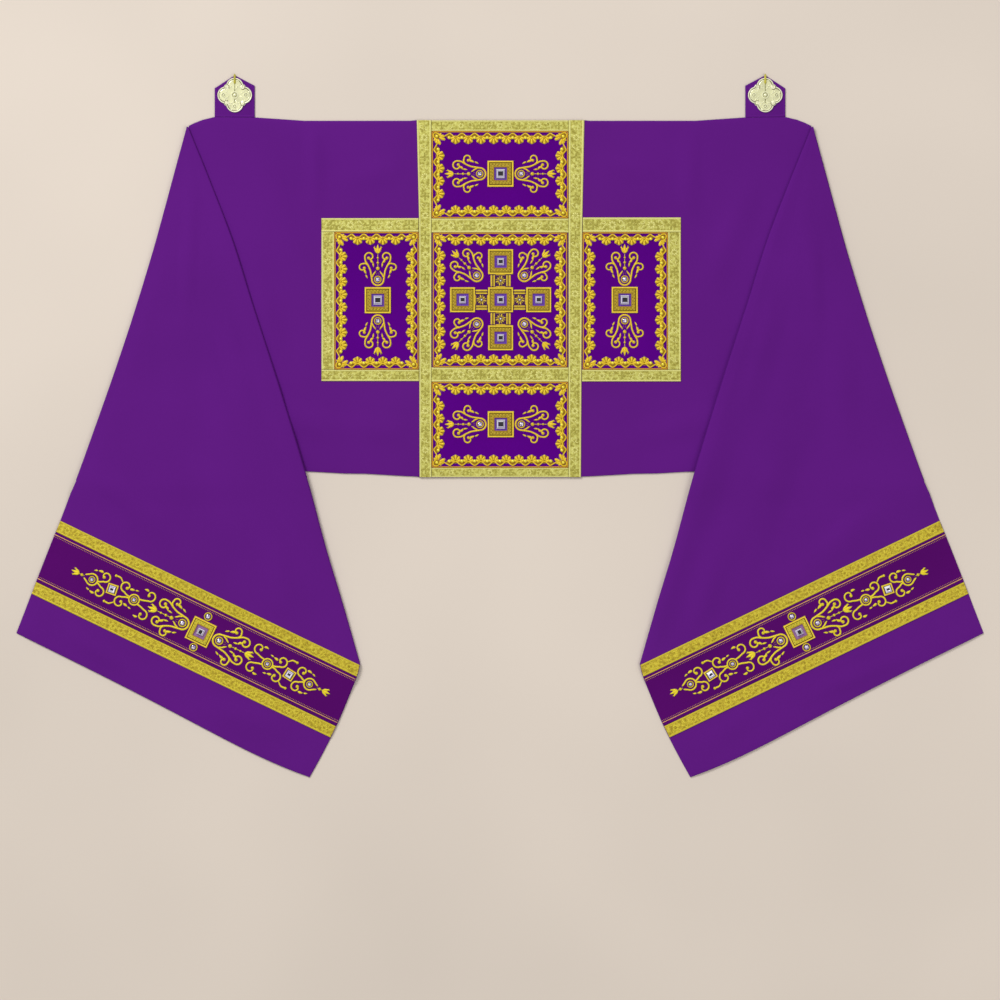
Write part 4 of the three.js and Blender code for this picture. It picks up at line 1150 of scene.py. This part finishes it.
def draw_knot(bm):
    """Ring with two strands outwards, each with a long tail that ends in a drop, and two strands back."""
    add_thread(bm, arc((0, 0), 8.8, 0, 360, steps=28), 1.3, THREAD_RISE)
    add_thread(bm, arc((0, 0), 4.9, 0, 360, steps=20), 0.9, 1.7)

    def strands(half):
        draw_strand(half, [(1.3, 8.6), (1.8, 14)], (13.6, 21), 8.8, 180, -297, 0.3, 1.5, 2.8)
        tail = [(17.5, 28.5), (21.5, 33), (23.9, 36.7), (23.6, 44.5)]
        add_thread(half, smooth_path(tail, 5), tapered(1.5, 0.9, 1.3, 0.9), THREAD_RISE)
        add_bead(half, tail[-1], 2.4, 1.6, 0.0, 0, 2)
        draw_drop(half, [(13, 14), (14.2, 9.6), (15, 5.2)], 2.1)
        draw_drop(half, [(15.2, 4.6), (16, 1.6), (16.3, -1.6)], 1.4)
        draw_strand(half, [(4.5, -6.8), (5.6, -14)], (17, -22.5), 8.6, 180, 270, 0.33, 1.5, 2.8)
        draw_drop(half, [(23, -17), (24.4, -13.2), (23.5, -8.4)], 2.0)
    both_sides(bm, strands)


def draw_finial(bm):
    """The last ring of a band, with a lily outwards and two strands back."""
    ring = [(-2.6, 14.5), (-5.2, 9.6)] + arc((0, 0), 9.6, 145, 250, steps=22) + [(5.2, 9.6), (2.6, 14.5)]
    add_thread(bm, smooth_path(ring, 2), 1.4, THREAD_RISE)
    add_thread(bm, arc((0, 0), 4.9, 0, 360, steps=20), 0.9, 1.7)
    add_bead(bm, (0, 18.6), 2.6, 1.6, 0.0, 0, 2)
    add_thread(bm, line((0, 13.5), (0, 26), 6), 0.5, 0.9)
    draw_lily(bm, 23, 0.94)

    def strands(half):
        draw_strand(half, [(1.5, -9), (2, -13)], (13.5, -19), 8.3, 180, 300, 0.28, 1.5, 2.8)
        draw_drop(half, [(19, -13), (19.4, -8.6), (18.2, -3.6)], 2.1)
        draw_drop(half, [(17.8, -3), (17, 0.4), (15.6, 3.4)], 1.4)
    both_sides(bm, strands)


def draw_ring(bm):
    add_thread(bm, arc((0, 0), 6.2, 0, 360, steps=20), 1.0, 1.7)


STONE_PROFILE = ((0, 2.5), (2.1, 2.5), (3.2, 1.9), (4.1, 1.0), (4.1, 0.1), (0, 0.1))
STONE_SIDES = 12
TABLE_ABOVE = 2.4
CROWN_ABOVE = 1.7


def draw_round_stone(bm):
    """A round cut stone: table, two rows of facets and a girdle. One half of the table is white as a painted highlight
    and the other half lilac as painted shade; the crown's facets mix white glints with lilac and dark painted shade,
    and the girdle is painted shade.
    """
    verts = [bm.verts.new((radius, 0, height)) for radius, height in STONE_PROFILE]
    edges = [bm.edges.new(pair) for pair in zip(verts, verts[1:])]
    bmesh.ops.spin(bm, geom=verts + edges, cent=(0, 0, 0), axis=(0, 0, 1), angle=2 * math.pi, steps=STONE_SIDES,
                   use_merge=True)
    bmesh.ops.remove_doubles(bm, verts=bm.verts, dist=1e-4)
    for face in bm.faces:
        centre = face.calc_center_median()
        sector = math.floor(math.degrees(math.atan2(centre.y, centre.x)) / (360 / STONE_SIDES)) % STONE_SIDES
        # White faces are a painted highlight; lilac and dark faces are painted shade.
        if centre.z > TABLE_ABOVE:
            face.material_index = 4 if 2 <= sector < 9 else 5
        elif centre.z > CROWN_ABOVE:
            face.material_index = (6, 4, 5)[sector % 3]
        else:
            face.material_index = (5, 6)[sector % 2]


# Braid


def draw_rosette(bm):
    """A rosette of eight petals round a small ring, for the middle of a braid 23 mm wide."""
    for turn in range(8):
        add_thread(bm, ray(45 * turn, (2.2, 3.6, 5.2, 6.5)), tapered(1.4, 0.5, 0.5, 0.6), 0.45, 4)
    add_thread(bm, arc((0, 0), 1.5, 0, 360, steps=10), 0.55, 0.5, 4, material=1)


def draw_braid_cross(bm):
    """A small cross with wide ends, and four short rays between its arms."""
    for turn in (0, 90, 180, 270):
        add_thread(bm, ray(turn, (0.0, 2.5, 5.0, 7.2, 7.5)), lambda share: 0.95 + 0.7 * share, 0.42, 4, material=1)
        add_thread(bm, ray(turn + 45, (2.8, 4.2, 5.8)), 0.5, 0.4, 4)


def draw_braid_scroll(bm):
    """Two small scrolls, one over the other, that fill the stretch between two figures."""
    for side in (-1, 1):
        curl = arc((side * 2.3, side * 4.1), 3.3, 180 if side > 0 else 0, 250 * side, 1.3, 10)
        path = [(-side * 6.6, side * 1.2), (-side * 3.2, side * 0.8)] + curl
        add_thread(bm, path, 0.7, 0.42, 4)
        add_thread(bm, [(side * x, -side * y) for x, y in ((6.2, 2.6), (4.6, 4.8), (1.6, 6))],
                   tapered(1.0, 0.4, 0.4), 0.4, 4, material=1)


def braid_columns():
    """Places across a braid, as shares, and the share of its full rise at each: two rails and a low middle."""
    rail = [(0, 0.35), (0.015, 0.75), (0.04, 0.96), (0.08, 1.0), (0.115, 0.95), (0.135, 0.78), (0.16, 0.8),
            (0.3, 0.86)]
    return [*rail, (0.5, 0.88), *((1 - place, rise) for place, rise in reversed(rail))]


BRAID_RIM = [0, 0.4, 1.0, 1.8, 2.8]
ROW_PITCH = 8
RAIL_FROM_MIDDLE = 0.37
FIGURE_PITCH = 16.4
FIGURE_BRAID_WIDTH = 23
FIGURE_FOOT = 0.87
CROSS_FIRST = ("cross", "scroll", "rosette", "scroll")
SCROLL_FIRST = ("scroll", "rosette", "scroll", "cross")
ROSETTES = ("rosette", "scroll")
PALE_BRAID = ("braid", "braid_rail", "braid_figure", "braid_cross")
GOLD_BRAID = ("arm_braid", "arm_rail", "arm_figure", "arm_core")


def braid_strip(name, length, at, half_width, templates, cycle, look=PALE_BRAID):
    """A length of braid. at(along, aside) gives x, y and the height under it; aside runs from -1 to 1."""
    columns = braid_columns()
    alongs = rimmed(length, BRAID_RIM, max(int(length / ROW_PITCH), 4))
    bm = bmesh.new()

    def point(row, column):
        share, rise = columns[column]
        along = alongs[row]
        x, y, ground = at(along, 2 * share - 1)
        end = rounded(min(along, length - along) + 0.2)
        high = ground + BRAID_RISE * rise * end
        return x, y, high, ground + ON_CLOTH - CLOTH, along, share * half_width * 2

    add_shell(bm, len(alongs) - 1, len(columns) - 1, point)
    weave = bm.loops.layers.uv.verify()
    for face in bm.faces:
        aside = sum(loop[weave].uv.y for loop in face.loops) / len(face.loops) / (half_width * 2 * MM)
        face.material_index = 1 if abs(aside - 0.5) > RAIL_FROM_MIDDLE else 0
    piece = finish_piece(name + "_strip", bm, look[:2], [name], 50)
    figures = new_drawing()
    count = max(int((length - 8) / FIGURE_PITCH), 1)
    first = (length - (count - 1) * FIGURE_PITCH) / 2
    size = half_width * 2 / FIGURE_BRAID_WIDTH
    for number in range(count):
        x, y, ground = at(first + number * FIGURE_PITCH, 0)
        ahead = at(first + number * FIGURE_PITCH + 1, 0)
        turn = math.atan2(ahead[1] - y, ahead[0] - x)
        height = ground + BRAID_RISE * FIGURE_FOOT
        flip = Matrix.Diagonal((1, -1 if number % 4 == 3 else 1, 1, 1))
        place = Matrix.Translation((x, y, height)) @ Matrix.Rotation(turn, 4, "Z") @ grown(size) @ flip
        stamp(figures, templates[cycle[number % len(cycle)]], place)
    finish_piece(name + "_figures", figures, look[2:], sharp=60)


def middle_braids(templates):
    for index, row in enumerate(BRAIDS):
        left, right, top, bottom = row["left"], row["right"], row["top"], row["bottom"]
        wide, tall = right - left - 2 * SEAM, bottom - top - 2 * SEAM
        length, half = max(wide, tall), min(wide, tall) / 2

        def at(along, aside):
            if wide > tall:
                place = left + SEAM + along, (top + bottom) / 2 + aside * half
            else:
                place = (left + right) / 2 - aside * half, top + SEAM + along
            return (*to_world(*place), CLOTH)

        cycle = SCROLL_FIRST if index % 2 else CROSS_FIRST
        braid_strip(row["name"], length, at, half, templates, cycle)
    for row in UPRIGHT_BRAIDS:
        edge = table("across down", *zip(UPRIGHT_DOWN, row["outer"]))

        def at(along, aside):
            down = UPRIGHT_DOWN[0] + along
            outer = edge_down(edge, down)
            middle, half = (row["inner"] + outer) / 2, (outer - row["inner"]) / 2 - SEAM
            return (*to_world(row["side"] * (middle + aside * half), down), CLOTH)

        length = UPRIGHT_DOWN[-1] - UPRIGHT_DOWN[0]
        braid_strip(row["name"], length, at, 11, templates, SCROLL_FIRST)


def inside_edges(down, from_outer, from_inner):
    """Where a length sewn on the front stretch starts and ends, a little inside its two edges."""
    return end_value("outer", down) + from_outer, end_value("inner", down) - from_inner


SEWN_INSIDE = (0.6, 0.8)


def end_braids(side, name, templates):
    for braid, part in ((UPPER_BRAID, "upper"), (LOWER_BRAID, "lower")):
        centre = (braid["top"] + braid["bottom"]) / 2
        half = (braid["bottom"] - braid["top"]) / 2 - SEAM
        start, end = inside_edges(centre, *SEWN_INSIDE)
        length = end - start

        def at(along, aside):
            down = centre + aside * half
            shift = lerp(end_value("outer", down) - end_value("outer", centre),
                         end_value("inner", down) - end_value("inner", centre), along / length)
            across = start + along + shift
            return (*end_to_world(side, across, down), front_top(side, across, down))

        braid_strip(f"band_braid_{part}_{name}", length, at, half, templates, ROSETTES,
                    GOLD_BRAID)


# Bands on the ends


def band_point(side, out, aside):
    """A point of a band: out is along it from its middle setting, towards the outer side, and aside is up from it."""
    across, down = BAND_CENTRE[0] - out, BAND_CENTRE[1] - aside
    return (*end_to_world(side, across, down), across, down)


def band_matrix(side, out, aside, turn=0.0):
    """Places a drawing on a band. At turn 0 its +Y points to the outer side."""
    x, y, across, down = band_point(side, out, aside)
    ahead_x, ahead_y, _, _ = band_point(side, out + 1, aside)
    way = math.atan2(ahead_y - y, ahead_x - x) - math.pi / 2 + turn
    return Matrix.Translation((x, y, front_top(side, across, down) + BAND_FACE)) @ Matrix.Rotation(way, 4, "Z")


def band_height(side):
    """Height of a band's face as a function of where a point lies."""
    def height(x, y):
        u, v = -side * x + APEX_ACROSS, y - ORIGIN_DOWN + APEX_DOWN
        across, down = u * END_COS - v * END_SIN, -(u * END_SIN + v * END_COS)
        return front_top(side, across, down) + BAND_FACE
    return height


def band_cloth(side, name):
    top, bottom = UPPER_BRAID["bottom"] + SEAM, LOWER_BRAID["top"] - SEAM
    downs = [top, top + 0.4, top + 1, *even_between(top, bottom, 14), bottom - 1, bottom - 0.4, bottom]
    columns = 2 * len(BAND_RIM) + 65

    def point(row, column):
        down = downs[len(downs) - 1 - row]
        start, end = inside_edges(down, *SEWN_INSIDE)
        across = start + rimmed(end - start, BAND_RIM, 66)[column]
        edge = min(across - start, end - across, down - top, bottom - down)
        thick = BAND_HALF * rounded(edge)
        middle = front_top(side, across, down) + BAND_MIDDLE
        return (*end_to_world(side, across, down), middle + thick, middle - thick, across, down)

    bm = bmesh.new()
    add_shell(bm, len(downs) - 1, columns - 1, point)
    piece = finish_piece(f"band_velvet_{name}", bm, ["band"], [f"band_{name}"])


STITCHES = 190
STITCH_OFF_LINE = 3.3
BAND_LINES = ((713.2, 1), (792.2, -1))


def band_lines(bm, side):
    """Along a band, near each braid: a thin gold line and, towards the middle, a row of small stitches."""
    for down, towards_middle in BAND_LINES:
        start, end = inside_edges(down, 0.7, 0.9)
        path = [end_to_world(side, lerp(start, end, share), down) for share in blunt_shares(60, 0.0006)]
        add_thread(bm, path, 0.6, 0.7, 4, material=2)
        row = down + STITCH_OFF_LINE * towards_middle
        start, end = inside_edges(row, 1.5, 2)
        for step in range(STITCHES + 1):
            add_bead(bm, end_to_world(side, lerp(start, end, step / STITCHES), row), 0.65, 0.6, 0, 2)


# Panel


def length_property(label, words, value, low, high):
    return bpy.props.FloatProperty(name=label, description=words, default=value, min=low, max=high, unit="LENGTH")


class VeilSizes(bpy.types.PropertyGroup):
    crease_strength: bpy.props.FloatProperty(
        name="Crease strength", description="How high the soft creases stand, as a share of their own rise",
        default=1.4, min=0.0, max=2.0, subtype="FACTOR")
    camera_height: length_property("Camera height", "Height of the camera over the veil", 4.0, 1.0, 10.0)
    view_width: length_property("View width", "Width of what the camera sees at the surface", 1.6807, 0.5, 5.0)
    camera_down: length_property("Camera shift down", "How far below the veil's middle the camera aims", 0.1251, -1, 1)
    floor_size: length_property("Floor size", "Side of the pale floor", 14.0, 2.0, 40.0)


def colour_property(label, words, value):
    return bpy.props.FloatVectorProperty(name=label, description=words, default=value, size=3, min=0.0, max=1.0,
                                         subtype="COLOR")


class VeilColours(bpy.types.PropertyGroup):
    ground: colour_property("Ground cloth", "Colour of the satin ground", (0.112, 0.0103, 0.216))
    panel: colour_property("Panels", "Colour of the embroidered panels", (0.091, 0.0003, 0.216))
    band: colour_property("Bands", "Colour of the bands on the ends", (0.0865, 0.003, 0.133))
    # The braid's shade and light colours are painted shade and painted glints among its threads.
    braid: colour_property("Braid", "Main colour of the braid", (0.53, 0.49, 0.085))
    braid_shade: colour_property("Braid shade", "Painted shade among the braid's threads", (0.32, 0.28, 0.03))
    braid_light: colour_property("Braid light", "Painted glints of the braid's threads", (0.7, 0.7, 0.2))
    gold: colour_property("Gold thread", "Colour of the embroidery", (0.88, 0.63, 0.03))
    clasp: colour_property("Clasps", "Colour of the clasps' metal", (0.97, 0.97, 0.7))
    floor: colour_property("Floor", "Colour of the floor", (0.72, 0.64, 0.56))


class VEIL_OT_ground(bpy.types.Operator):
    """Builds the ground cloth: the middle, what is folded under, the two fronts and the tabs"""

    bl_idname = "veil.ground"
    bl_label = "Ground cloth"

    def execute(self, context):
        middle_cloth()
        for side, name in SIDES:
            folded_cloth(side, name)
            front_cloth(side, name)
            tab_cloth(side, name)
        return {"FINISHED"}


class VEIL_OT_panels(bpy.types.Operator):
    """Builds the panels of the middle with their scalloped borders"""

    bl_idname = "veil.panels"
    bl_label = "Panels and borders"

    def execute(self, context):
        fan, corner_fan = template_mesh(draw_fan), template_mesh(draw_corner_fan)
        for panel in PANELS:
            panel_cloth(panel)
            border(panel, fan, corner_fan)
        return {"FINISHED"}


class VEIL_OT_braid(bpy.types.Operator):
    """Builds every length of braid with its woven figures"""

    bl_idname = "veil.braid"
    bl_label = "Braid"

    def execute(self, context):
        templates = {"rosette": template_mesh(draw_rosette), "cross": template_mesh(draw_braid_cross),
                     "scroll": template_mesh(draw_braid_scroll)}
        middle_braids(templates)
        for side, name in SIDES:
            end_braids(side, name, templates)
        return {"FINISHED"}


class VEIL_OT_bands(bpy.types.Operator):
    """Builds the velvet band of each end with its thin lines, scrolls and settings"""

    bl_idname = "veil.bands"
    bl_label = "Bands on the ends"

    def execute(self, context):
        spray, knot, finial = (template_mesh(draw) for draw in (draw_spray, draw_knot, draw_finial))
        ring, stone = template_mesh(draw_ring), template_mesh(draw_round_stone)
        setting, square_stone = template_mesh(draw_setting), template_mesh(draw_square_stone)
        small, small_stone = template_mesh(draw_small_setting), template_mesh(draw_small_stone)
        motifs = ((SPRAY_OUT, spray, 1.09, 1), (KNOT_OUT, knot, 1, 0.82), (FINIAL_OUT, finial, 1, 0.82))
        for side, name in SIDES:
            band_cloth(side, name)
            height = band_height(side)
            bm, stones = new_drawing(), new_drawing()
            for out in (-1, 1):
                for at, template, size, stone_size in motifs:
                    place = band_matrix(side, out * at, 0, 0 if out > 0 else math.pi)
                    place.translation.z = 0
                    stamp(bm, template, place @ grown(size), height)
                    stamp(stones, stone, band_matrix(side, out * at, 0) @ grown(stone_size))
                place = band_matrix(side, 0, out * RING_ASIDE)
                stamp(bm, ring, place)
                stamp(stones, stone, place)
            start = len(bm.verts)
            band_lines(bm, side)
            bm.verts.ensure_lookup_table()
            for vert in bm.verts[start:]:
                vert.co.z += height(vert.co.x, vert.co.y)
            finish_piece(f"band_embroidery_{name}", bm, ("gold_lemon", "dark_gold_and_pad_shade", "gold_thin"),
                         sharp=60)
            scale = Matrix.Scale(BAND_SETTING_SIDE / CROSS_SIDE, 4)
            setting_piece(f"setting_band_{name}", f"jewel_band_{name}", setting, band_matrix(side, 0, 0) @ scale,
                          BAND_SETTING_LOOK)
            stamp(stones, square_stone, band_matrix(side, 0, 0) @ scale)
            for out, part in ((1, "outer"), (-1, "inner")):
                place = band_matrix(side, out * SMALL_SETTING_OUT, 0, -side * out * SMALL_SETTING_TURN)
                setting_piece(f"setting_small_{part}_{name}", f"jewel_small_{part}_{name}", small, place)
                stamp(stones, small_stone, place)
            finish_piece(f"band_stones_{name}", stones, SETTING_LOOK, sharp=15)
        return {"FINISHED"}


class VEIL_OT_settings(bpy.types.Operator):
    """Builds the jewelled cross and the square settings of the panels"""

    bl_idname = "veil.settings"
    bl_label = "Cross and square settings"

    def execute(self, context):
        setting, stone, bar = (template_mesh(draw) for draw in (draw_setting, draw_square_stone, draw_bar))
        stones = new_drawing()
        arms = [("centre", 0, 0), ("top", 0, -1), ("bottom", 0, 1), ("left", -1, 0), ("right", 1, 0)]
        for name, across, down in arms:
            place = placed(CROSS_CENTRE[0] + across * CROSS_PITCH, CROSS_CENTRE[1] + down * CROSS_PITCH)
            setting_piece(f"setting_cross_{name}", f"jewel_cross_{name}", setting, place)
            stamp(stones, stone, place)
            if name != "centre":
                place = placed(CROSS_CENTRE[0] + across * CROSS_PITCH / 2, CROSS_CENTRE[1] + down * CROSS_PITCH / 2,
                               math.pi / 2 if across else 0)
                setting_piece(f"bar_{name}", f"cross_bar_{name}", bar, place)
        scale = Matrix.Scale(PANEL_SETTING_SIDE / CROSS_SIDE, 4)
        for row in PANEL_SETTINGS:
            place = placed(row["across"], row["down"]) @ scale
            setting_piece(f"setting_panel_{row['name']}", f"jewel_panel_{row['name']}", setting, place)
            stamp(stones, stone, place @ grown(PANEL_STONE_SIZE))
        finish_piece("square_stones", stones, SETTING_LOOK, sharp=15)
        return {"FINISHED"}


class VEIL_OT_embroidery(bpy.types.Operator):
    """Builds the sprays and round stones of the panels"""

    bl_idname = "veil.embroidery"
    bl_label = "Sprays and round stones"

    def execute(self, context):
        spray, stone = template_mesh(draw_spray), template_mesh(draw_round_stone)
        stones = new_drawing()
        for row in PANEL_SETTINGS:
            bm = new_drawing()
            for turn in row["turns"]:
                place = placed(row["across"], row["down"], math.radians(turn))
                place = place @ Matrix.Translation((0, PANEL_SPRAY_OUT, 0))
                stamp(bm, spray, place)
                stamp(stones, stone, place)
            finish_piece(f"sprays_{row['name']}", bm, ("gold", "dark_gold_and_pad_shade"), sharp=60)
        bm = new_drawing()
        for across, down in ((-1, -1), (1, -1), (1, 1), (-1, 1)):
            turn = math.atan2(-down, across) - math.pi / 2
            place = placed(CROSS_CENTRE[0] + across * CROSS_SPRAY_OUT[0], CROSS_CENTRE[1] + down * CROSS_SPRAY_OUT[1],
                           turn)
            stamp(bm, spray, place)
            stamp(stones, stone, place)
        finish_piece("sprays_centre", bm, ("gold", "dark_gold_and_pad_shade"), sharp=60)
        finish_piece("round_stones", stones, SETTING_LOOK, sharp=15)
        return {"FINISHED"}


class VEIL_OT_clasps(bpy.types.Operator):
    """Builds the two metal clasps"""

    bl_idname = "veil.clasps"
    bl_label = "Clasps"

    def execute(self, context):
        for side, name in SIDES:
            clasp_piece(side, name)
        return {"FINISHED"}


# The sunken groove of the plate takes the dark line finish and its sunken field the recess finish, both painted shade.
CLASP_STEPS = ((0.5, 0.4, 0), (1.3, 0.0, 0), (1.4, -0.6, 3), (0.8, 0.3, 0), (0.4, -0.3, 1))
CLASP_FOOT = 1.2
CLASP_DOTS = (-12, -9.6, -7.4, 7.4, 9.8, 12.2, 14.6, 17)


def clasp_plate(bm):
    """A quatrefoil plate with a rim round a lower field."""
    outline = []
    for turn in (0, 90, 180, 270):
        centre = ray(turn, [CLASP["lobe_out"]])[0]
        outline += arc(centre, CLASP["lobe"] - 0.4, turn - 88, 176, steps=18)
    face = bmesh.ops.contextual_create(bm, geom=[bm.verts.new((x, y, 0)) for x, y in outline])["faces"][0]
    face.normal_update()
    if face.normal.z < 0:
        bmesh.ops.reverse_faces(bm, faces=[face])
    region = bmesh.ops.extrude_face_region(bm, geom=[face])["geom"]
    bmesh.ops.translate(bm, vec=(0, 0, 1.6), verts=[item for item in region if isinstance(item, bmesh.types.BMVert)])
    top = next(item for item in region if isinstance(item, bmesh.types.BMFace))
    bmesh.ops.recalc_face_normals(bm, faces=bm.faces)
    for width, rise, material in CLASP_STEPS:
        ring = bmesh.ops.inset_region(bm, faces=[top], thickness=width, depth=rise, use_even_offset=True)
        for item in ring["faces"]:
            item.material_index = material
    top.material_index = 1


def clasp_piece(side, name):
    """The plate with its curls, rings and hook. Dark lines of painted shade follow the rings and curls, dark dots of
    painted shade run along the middle, and the sunken field is painted a little darker as shade.
    """
    bm = new_drawing()
    clasp_plate(bm)
    foot = CLASP_FOOT
    for quarter in range(4):
        turn = math.radians(90 * quarter)
        way, aside = Vector((math.cos(turn), math.sin(turn))), Vector((-math.sin(turn), math.cos(turn)))

        def at(along, across):
            return tuple(way * along + aside * across)

        ring_centre = at(19, 0)
        if quarter != 1:
            add_thread(bm, arc(ring_centre, 3.4, 0, 360), 0.8, 1.3, 6, foot)
            add_thread(bm, arc(ring_centre, 2.2, 0, 360, steps=14), 0.4, 1.0, 4, foot, 3)
            add_bead(bm, ring_centre, 1.4, 1.2, foot)
        for hand in (-1, 1):
            curl = [at(*point) for point in bend((8, hand * 1.2), (14, hand * 3), (20, hand * 11), (15.5, hand * 10.2))]
            curl += [at(x, y * hand) for x, y in arc((15.2, 6.9), 3.3, 85, 250, 1.3, 10)]
            add_thread(bm, curl, 0.7, 1.2, 6, foot)
            drop = [at(x, hand * y) for x, y in ((22.5, 3), (24.6, 4.6), (23.4, 7.4))]
            add_thread(bm, smooth_path(drop, 3), tapered(1.1), 1.2, 6, foot)
        corner = at(13.6, 13.6)
        add_bead(bm, corner, 4.6, 0.9, 0.9, 0, 2)
        add_thread(bm, arc(corner, 4.4, 225 + 90 * quarter, 300, 2.4, 14), 0.7, 1.9, 6, foot, 3)
        add_thread(bm, arc(corner, 3.4, 225 + 90 * quarter, 330, 1.5, 14), 1.05, 1.6, 6, foot + 0.2)
        add_bead(bm, corner, 1.2, 1.4, foot + 0.2)
    add_thread(bm, arc((0, 0), 5.2, 0, 360, steps=20), 0.9, 1.4, 6, foot)
    add_thread(bm, arc((0, 0), 3.6, 0, 360, steps=18), 0.45, 1.2, 4, foot, 3)
    for up in CLASP_DOTS:
        add_bead(bm, (0, up), 0.9, 0.9, foot, 3)
    add_bead(bm, (0, 0), 2.4, 2.0, foot, 0, 2)
    add_thread(bm, line((0, 18), (0, 36.1), 8), 1.9, 1.8, 8, foot + 0.3, 2)
    x, y = to_world(side * CLASP["across"], CLASP["down"])
    bmesh.ops.translate(bm, vec=(x, y, ON_CLOTH), verts=bm.verts)
    finish_piece(f"clasp_metal_{name}", bm, ("clasp", "clasp_recess_shade", "clasp_hook", "clasp_line"), [f"clasp_{name}"],
                 35)


# Each light's name, place, size and power
LIGHTS = (("key", (-3.4, 4.2, 4.6), 2.5, 330), ("fill", (3.2, -2.6, 4.5), 3.0, 75))
SKY_COLOUR = (1.0, 0.97, 0.94, 1)
SKY_STRENGTH = 0.44
FLOOR_BELOW = 0.0003


class VEIL_OT_stage(bpy.types.Operator):
    """Sets up the pale floor, the soft lights and the camera straight above"""

    bl_idname = "veil.stage"
    bl_label = "Floor, lights and camera"

    def execute(self, context):
        sizes, colours = context.scene.veil_sizes, context.scene.veil_colours
        bm = bmesh.new()
        bmesh.ops.create_grid(bm, x_segments=1, y_segments=1, size=sizes.floor_size / 2)
        bmesh.ops.translate(bm, vec=(0, 0, -FLOOR_BELOW), verts=bm.verts)
        mesh = bpy.data.meshes.new("floor")
        bm.to_mesh(mesh)
        bm.free()
        mesh.materials.append(plain_finish("pale floor", tuple(colours.floor), 0.85, 0.0, 1.4, 0.05))
        floor = bpy.data.objects.new("floor", mesh)
        context.scene.collection.objects.link(floor)
        for name, place, size, power in LIGHTS:
            light = bpy.data.lights.new(name, "AREA")
            light.size = size
            light.energy = power
            lamp = bpy.data.objects.new(name, light)
            lamp.location = place
            lamp.rotation_euler = (-Vector(place)).to_track_quat("-Z", "Y").to_euler()
            context.scene.collection.objects.link(lamp)
        world = bpy.data.worlds.new("soft studio")
        world.use_nodes = True
        sky = world.node_tree.nodes["Background"].inputs
        sky["Color"].default_value, sky["Strength"].default_value = SKY_COLOUR, SKY_STRENGTH
        context.scene.world = world
        context.scene.view_settings.view_transform = "Standard"
        lens = bpy.data.cameras.new("camera")
        lens.lens = lens.sensor_width * sizes.camera_height / sizes.view_width
        camera = bpy.data.objects.new("camera", lens)
        camera.location = (0, -sizes.camera_down, sizes.camera_height)
        context.scene.collection.objects.link(camera)
        context.scene.camera = camera
        return {"FINISHED"}


class VEIL_PT_panel(bpy.types.Panel):
    """Lists the pieces of the veil"""

    bl_idname = "VEIL_PT_panel"
    bl_label = "Humeral veil"
    bl_space_type = "VIEW_3D"
    bl_region_type = "UI"
    bl_category = "Veil"

    def draw(self, context):
        for group in (context.scene.veil_sizes, context.scene.veil_colours):
            for name in group.__annotations__:
                self.layout.prop(group, name)
        for operator in OPERATORS:
            self.layout.operator(operator.bl_idname)


OPERATORS = (VEIL_OT_stage, VEIL_OT_ground, VEIL_OT_panels, VEIL_OT_braid, VEIL_OT_bands, VEIL_OT_settings,
             VEIL_OT_embroidery, VEIL_OT_clasps)
CLASSES = (VeilSizes, VeilColours, *OPERATORS, VEIL_PT_panel)


def register():
    for item in CLASSES:
        bpy.utils.register_class(item)
    bpy.types.Scene.veil_sizes = bpy.props.PointerProperty(type=VeilSizes)
    bpy.types.Scene.veil_colours = bpy.props.PointerProperty(type=VeilColours)


def unregister():
    del bpy.types.Scene.veil_colours
    del bpy.types.Scene.veil_sizes
    for item in reversed(CLASSES):
        bpy.utils.unregister_class(item)


def main():
    register()
    bpy.ops.veil.stage()
    bpy.ops.veil.ground()
    bpy.ops.veil.panels()
    bpy.ops.veil.braid()
    bpy.ops.veil.bands()
    bpy.ops.veil.settings()
    bpy.ops.veil.embroidery()
    bpy.ops.veil.clasps()


if __name__ == "__main__":
    main()
